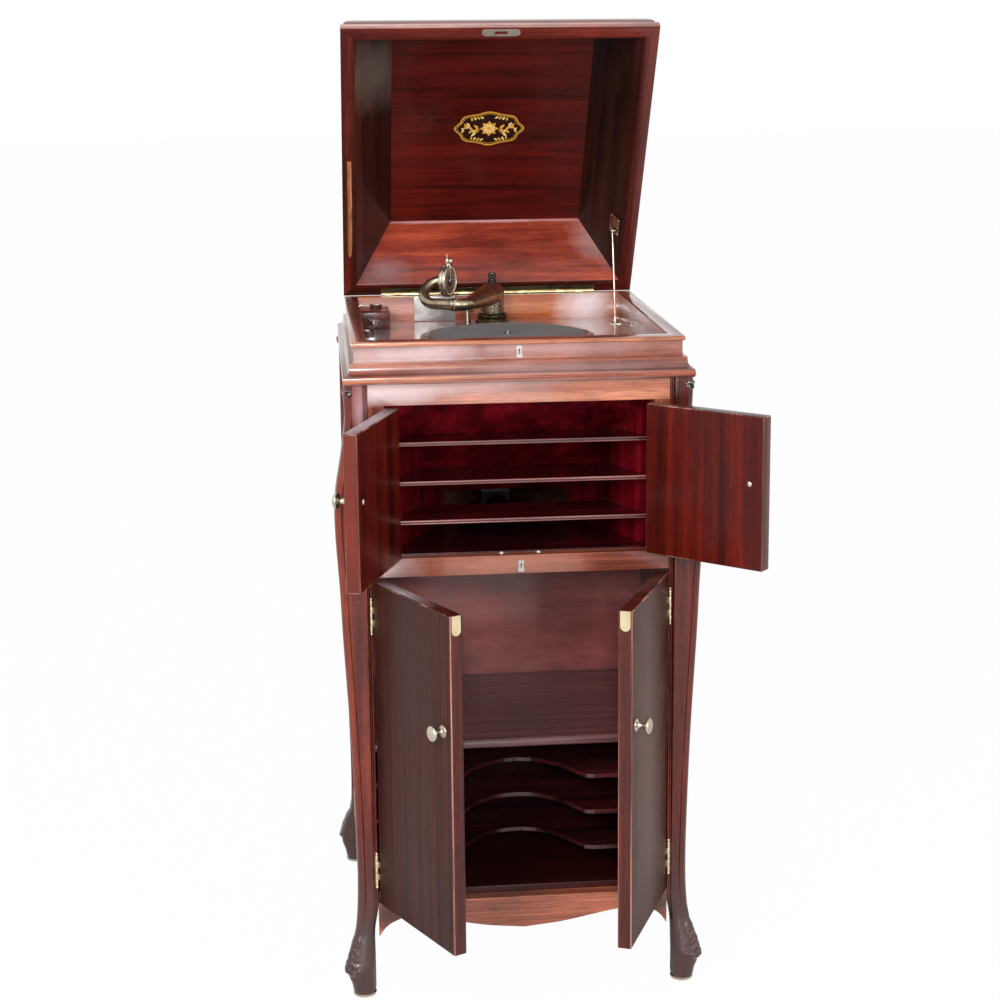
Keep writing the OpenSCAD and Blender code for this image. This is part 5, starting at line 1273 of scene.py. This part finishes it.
def addSoundbox(look):
    r, t = look["radius"], look["thick"]
    turn = (neckTurn @ Matrix.Translation((armLook["neckLeg"] - look["inNeck"], 2 * armLook["neckBend"], 0))
            @ Matrix.Rotation(rad(-90), 4, "Y") @ Matrix.Rotation(rad(90 + look["needleLean"]), 4, "Z"))

    def fromEdge(pairs):
        return [(r - inset, t - below) for inset, below in pairs]

    def fromCentre(pairs):
        return [(radius, t - below) for radius, below in pairs]

    shell = bmesh.new()
    side = [(r - inset, up) for inset, up in look["side"]]
    lathe(shell, look["back"] + side + fromEdge(look["front"]) + fromCentre(look["floor"]), turn, 96)
    addPiece("soundboxShell", shell, "gooseneck", [nickel], replaces=["soundbox"], sharp=34)
    ring = bmesh.new()
    lathe(ring, fromEdge(look["gasket"]), turn, 96)
    addPiece("soundboxGasket", ring, "gooseneck", [gasketRubber])
    disc = bmesh.new()
    lathe(disc, fromEdge(look["micaEdge"]) + fromCentre(look["mica"]), turn, 96)
    addPiece("soundboxMica", disc, "gooseneck", [micaDisc])
    bar = bmesh.new()
    line = look["barInside"] + [(r + past, below, thick) for past, below, thick in look["barPast"]]
    tube(bar, [turn @ Vector((x, 0, t - below)) for x, below, _ in line], [thick for _, _, thick in line], 16)
    lathe(bar, fromCentre(look["rivet"]), turn, 24)
    clampSpot = Matrix.Translation((r + look["clampOut"], 0, t - look["clampBelow"]))
    clampTurn = turn @ clampSpot @ Matrix.Rotation(rad(90), 4, "Y")
    lathe(bar, look["clamp"], clampTurn, 32)
    reach = look["needleReach"] - r - look["clampOut"]
    lathe(bar, look["needle"] + [(look["needlePoint"], reach), (0, reach)], clampTurn, 16)
    addPiece("needleBar", bar, "gooseneck", [paleNickel], sharp=40)


addToneArm(armLook)
addGooseneck(armLook)
addSoundbox(soundboxLook)
print("tone arm made")


# Small pieces on the board

fittingsLook = {
    "gap": 0.3, "block": (51.0, 77.0, 28.0), "cupOnBlock": (30.0, 18.0), "cupOnBoard": (13.0, 128.0),
    "cup": [(0, 0.1), (9, 0.1), (9.8, 1.0), (10.5, 4.4), (10.9, 5.1), (10.4, 5.5), (9.6, 5.2), (8.6, 3.0),
            (6.6, 1.4), (0, 1.0)],
    "plateX": (-128.5, -58.0), "plateThick": 1.5, "plateUp": 1.0, "plateDown": 1.5,
}


def addFittings(look):
    wellX, _, wellRear = boxLook["well"]
    wide, deep, high = look["block"]
    mesh = bmesh.new()
    roundedBlock(mesh, (-wellX + look["gap"], wellRear - deep, boardTop),
                 (-wellX + wide, wellRear - look["gap"], boardTop + high), 1.2, 3)
    addPiece("cornerBlock", mesh, "cabinet", [wood("box")], grain="y", replaces=["board_fittings"])
    mesh = bmesh.new()
    for (inX, inY), z in ((look["cupOnBlock"], boardTop + high), (look["cupOnBoard"], boardTop)):
        lathe(mesh, look["cup"], Matrix.Translation((-wellX + inX, wellRear - inY, z)), 48)
    addPiece("needleCups", mesh, "cabinet", [nickel])
    x0, x1 = look["plateX"]
    mesh = bmesh.new()
    roundedBlock(mesh, (x0, wellRear - look["plateThick"], boardTop + look["plateUp"]),
                 (x1, wellRear, caseHigh.z - look["plateDown"]), 0.5, 2)
    addPiece("blankPlate", mesh, "cabinet", [plateSilver])


addFittings(fittingsLook)
print("fittings made")


# Keyhole plates with drawn-in sides, and the ring round the crank's hole

plateLook = {
    "half": 5.3, "waist": 3.7, "tall": 18.2, "thick": 0.9, "drop": 18.5, "ring": 8.0,
    "raised": (0.9, 0.25), "hole": (1.5, 2.4), "slot": [(-0.8, -3.2), (0.8, -3.2), (0.6, 1.6), (-0.6, 1.6)],
}


def plateOutline(look, inset):
    right = []
    for k in range(33):
        t = k / 32
        end = max(0.0, (abs(2 * t - 1) - 0.75) / 0.25)
        half = look["half"] - (look["half"] - look["waist"]) * math.sin(math.pi * t) ** 2
        right.append((half * math.sqrt(1 - 0.8 * end * end) - inset, (t - 0.5) * (look["tall"] - 2 * inset)))
    return right + [(-x, y) for x, y in reversed(right)]


def addKeyholePlates(look):
    low, high = cabinetBox("escutcheons")
    mesh = bmesh.new()
    boxFront = caseLow.y + boxLook["beadOut"]
    for y, z in ((boxFront, caseHigh.z - look["drop"]), (caseLow.y, low.z + look["tall"] / 2)):
        made = bmesh.new()
        thick, (inset, raised), (holeRadius, holeUp) = look["thick"], look["raised"], look["hole"]
        flatShape(made, plateOutline(look, 0.0), thick, thick)
        flatShape(made, plateOutline(look, inset), thick + raised, raised)
        flatShape(made, circle(holeRadius, 16, 0.0, holeUp), thick + 0.3, 0.05, 1)
        flatShape(made, look["slot"], thick + 0.3, 0.05, 1)
        made.transform(Matrix.Translation((0, y, z)) @ Matrix.Rotation(rad(90), 4, "X"))
        data = bpy.data.meshes.new("plate")
        made.to_mesh(data)
        made.free()
        mesh.from_mesh(data)
    shaft = jointAt("winding_shaft_turn")[0]
    outer = high.y - shaft.y
    inner = outer - look["ring"]
    turn = Matrix.Translation((high.x - 2, shaft.y, shaft.z)) @ Matrix.Rotation(rad(90), 4, "Y")
    lathe(mesh, [(inner, 0), (outer, 0), (outer, 1.0), (outer - 1.2, 1.9), (inner + 1.6, 2.0), (inner, 1.2),
                 (inner, 0)], turn, 64)
    bmesh.ops.remove_doubles(mesh, verts=mesh.verts, dist=0.001)
    bmesh.ops.recalc_face_normals(mesh, faces=mesh.faces)
    addPiece("keyholePlates", mesh, "cabinet", [plateSilver, darkGround], replaces=["escutcheons"])


addKeyholePlates(plateLook)


# Nodes that keep their own shape get rounded edges and a finish

# Node: its finish, the way its boards run, and the radius of its edges
nodeLooks = {
    "floor_glides": (nickel, None, 0), "motor_board": ("board", "x", 0),
    "side_panels": ("panel", "z", 0), "back_panel": ("back", "z", 0.6),
    "front_rails": ("rail", "x", 0.8), "upper_stiles": ("rail", "z", 0.5),
    "aprons": ("apron", "xy", 1.4), "bottom_board": ("floorBoard", "x", 1.0),
    "middle_shelf": ("shelf", "x", 0), "false_back": ("inside", "x", 0),
    "record_shelves": ("record", "x", 1.6), "horn_walls": ("horn", "z", 0.5),
    "horn_floor": ("hornDark", "x", 0.5), "horn_slats": ("hornDark", "x", 1.8),
    "horn_duct": ("back", "y", 0.5), "horn_elbow": (iron, None, 0),
    "door_hinge_jamb_leaves": (brass, None, 0.2), "door_hinge_pins": (brass, None, 0),
    "ball_catches": (silver, None, 0),
    "left_upper_hinge_leaves": (brass, None, 0.2), "right_upper_hinge_leaves": (brass, None, 0.2),
    "left_lower_hinge_leaves": (brass, None, 0.2), "right_lower_hinge_leaves": (brass, None, 0.2),
    "lid_hinge_lower_leaf": (brass, None, 0.2), "lid_hinge_upper_leaf": (brass, None, 0.2),
    "strike_plate": (paleNickel, None, 0.1), "stay_bracket": (darkNickel, None, 0.4),
    "stay_rod": (nickel, None, 0), "stay_guide": (nickel, None, 0.3), "turntable_spindle": (steel, None, 0),
    "motor_frame": (iron, None, 0.8), "spring_barrel": (steel, None, 0), "winding_gear": (brass, None, 0),
    "winding_shaft": (steel, None, 0), "governor": (brass, None, 0),
    "tone_arm_base": (bronzeBase, None, 0.3), "needle_screw": (paleNickel, None, 0.3),
    "stop_rod": (nickel, None, 0.3), "speed_regulator": (nickel, None, 0.3),
    "brake_lever": (nickel, None, 0.3),
}
# These nodes' bevels take pale edges, partly wear and partly painted highlight
edgeWearAndHighlightNodes = {"record_shelves": "edgeWearAndHighlight", "horn_slats": "edgeWearAndHighlight"}


def dressNode(name, kind, axis, radius):
    node = nodes[name]
    material = wood(kind, axis) if isinstance(kind, str) else kind
    node.data.materials.clear()
    node.data.materials.append(material)
    if name in edgeWearAndHighlightNodes:
        node.data.materials.append(wood(edgeWearAndHighlightNodes[name], axis))
    if radius:
        weld = node.modifiers.new("weld", "WELD")
        weld.merge_threshold = 0.00001
        bevel = node.modifiers.new("roundEdges", "BEVEL")
        bevel.width = radius * mm
        bevel.segments = 2
        bevel.limit_method = "ANGLE"
        bevel.angle_limit = rad(50)
        bevel.material = 1 if name in edgeWearAndHighlightNodes else -1


for name, (kind, axis, radius) in nodeLooks.items():
    dressNode(name, kind, axis, radius)
print("nodes dressed:", len(nodeLooks))


# Floor, light and background

lightLook = {
    "world": 0.5, "floorShare": 0.985, "nearShare": 0.3, "near": (0.9, 3.2), "floorHalf": 25,
    "key": {"at": (-1.5, -2.9, 2.5), "size": 1.1, "power": 62, "to": (0.0, -0.1, 0.85)},
    "fill": {"at": (1.9, -2.6, 1.7), "size": 1.6, "power": 26, "to": (0.0, 0.0, 0.7)},
    "flash": {"at": (-0.35, -3.4, 1.75), "size": 0.35, "power": 34, "to": (0.0, 0.0, 0.8)},
    "window": {"at": (0.0, -3.3, 0.47), "size": 0.75, "high": 0.32, "power": 3.2, "to": (0.0, 0.0, 0.98)},
}


def addLamp(name, look):
    lamp = bpy.data.lights.new(name, "AREA")
    lamp.shape = "RECTANGLE"
    lamp.size = look["size"]
    lamp.size_y = look.get("high", look["size"])
    lamp.energy = look["power"]
    thing = inScene(name, lamp)
    thing.location = look["at"]
    thing.visible_camera = False
    thing.rotation_euler = (Vector(look["at"]) - Vector(look["to"])).to_track_quat("Z", "Y").to_euler()


def backgroundSeen(shader):
    # 1 for the rays that should see plain white: the camera's and what metal or glass mirrors
    path = shader.add("ShaderNodeLightPath")
    total = path.outputs["Is Camera Ray"]
    for ray in ("Is Glossy Ray", "Is Transmission Ray"):
        total = shader.math("MAXIMUM", total, path.outputs[ray])
    return total


def addWorld(strength):
    world = bpy.data.worlds.new("paleRoom")
    bpy.context.scene.world = world
    shader = Shader(world)
    level = shader.span(backgroundSeen(shader), 0.0, 1.0, strength, 1.0)
    light = shader.add("ShaderNodeBackground", {"Color": (1, 1, 1, 1), "Strength": level})
    shader.add("ShaderNodeOutputWorld", {"Surface": light.outputs[0]})


def addFloor(look):
    half = look["floorHalf"]
    mesh = bpy.data.meshes.new("floor")
    mesh.from_pydata([(-half, -half, 0), (half, -half, 0), (half, half, 0), (-half, half, 0)], [],
                     [(0, 1, 2, 3)])
    shader = newShader("paleFloor")
    # The floor close to the cabinet lies in its shade, so gloss finds it darker than the far floor
    away = shader.add("ShaderNodeVectorMath", {0: shader.objectCoord()}, operation="LENGTH").outputs["Value"]
    level = shader.span(away, *look["near"], look["nearShare"], look["floorShare"])
    byCamera = shader.add("ShaderNodeLightPath").outputs["Is Camera Ray"]
    seen = shader.add("ShaderNodeMix", {0: byCamera, 2: level, 3: look["floorShare"]}).outputs[0]
    share = shader.math("MULTIPLY", backgroundSeen(shader), seen)
    matt = shader.add("ShaderNodeBsdfDiffuse", {"Color": (0.9, 0.9, 0.9, 1)}).outputs[0]
    glow = shader.add("ShaderNodeEmission", {"Strength": 1.0}).outputs[0]
    blend = shader.add("ShaderNodeMixShader", {0: share, 1: matt, 2: glow}).outputs[0]
    shader.add("ShaderNodeOutputMaterial", {0: blend})
    mesh.materials.append(shader.owner)
    inScene("floor", mesh)


addWorld(lightLook["world"])
for name in ("key", "fill", "flash", "window"):
    addLamp(name + "Lamp", lightLook[name])
addFloor(lightLook)
bpy.context.scene.view_settings.view_transform = "Standard"
print("light and floor made")
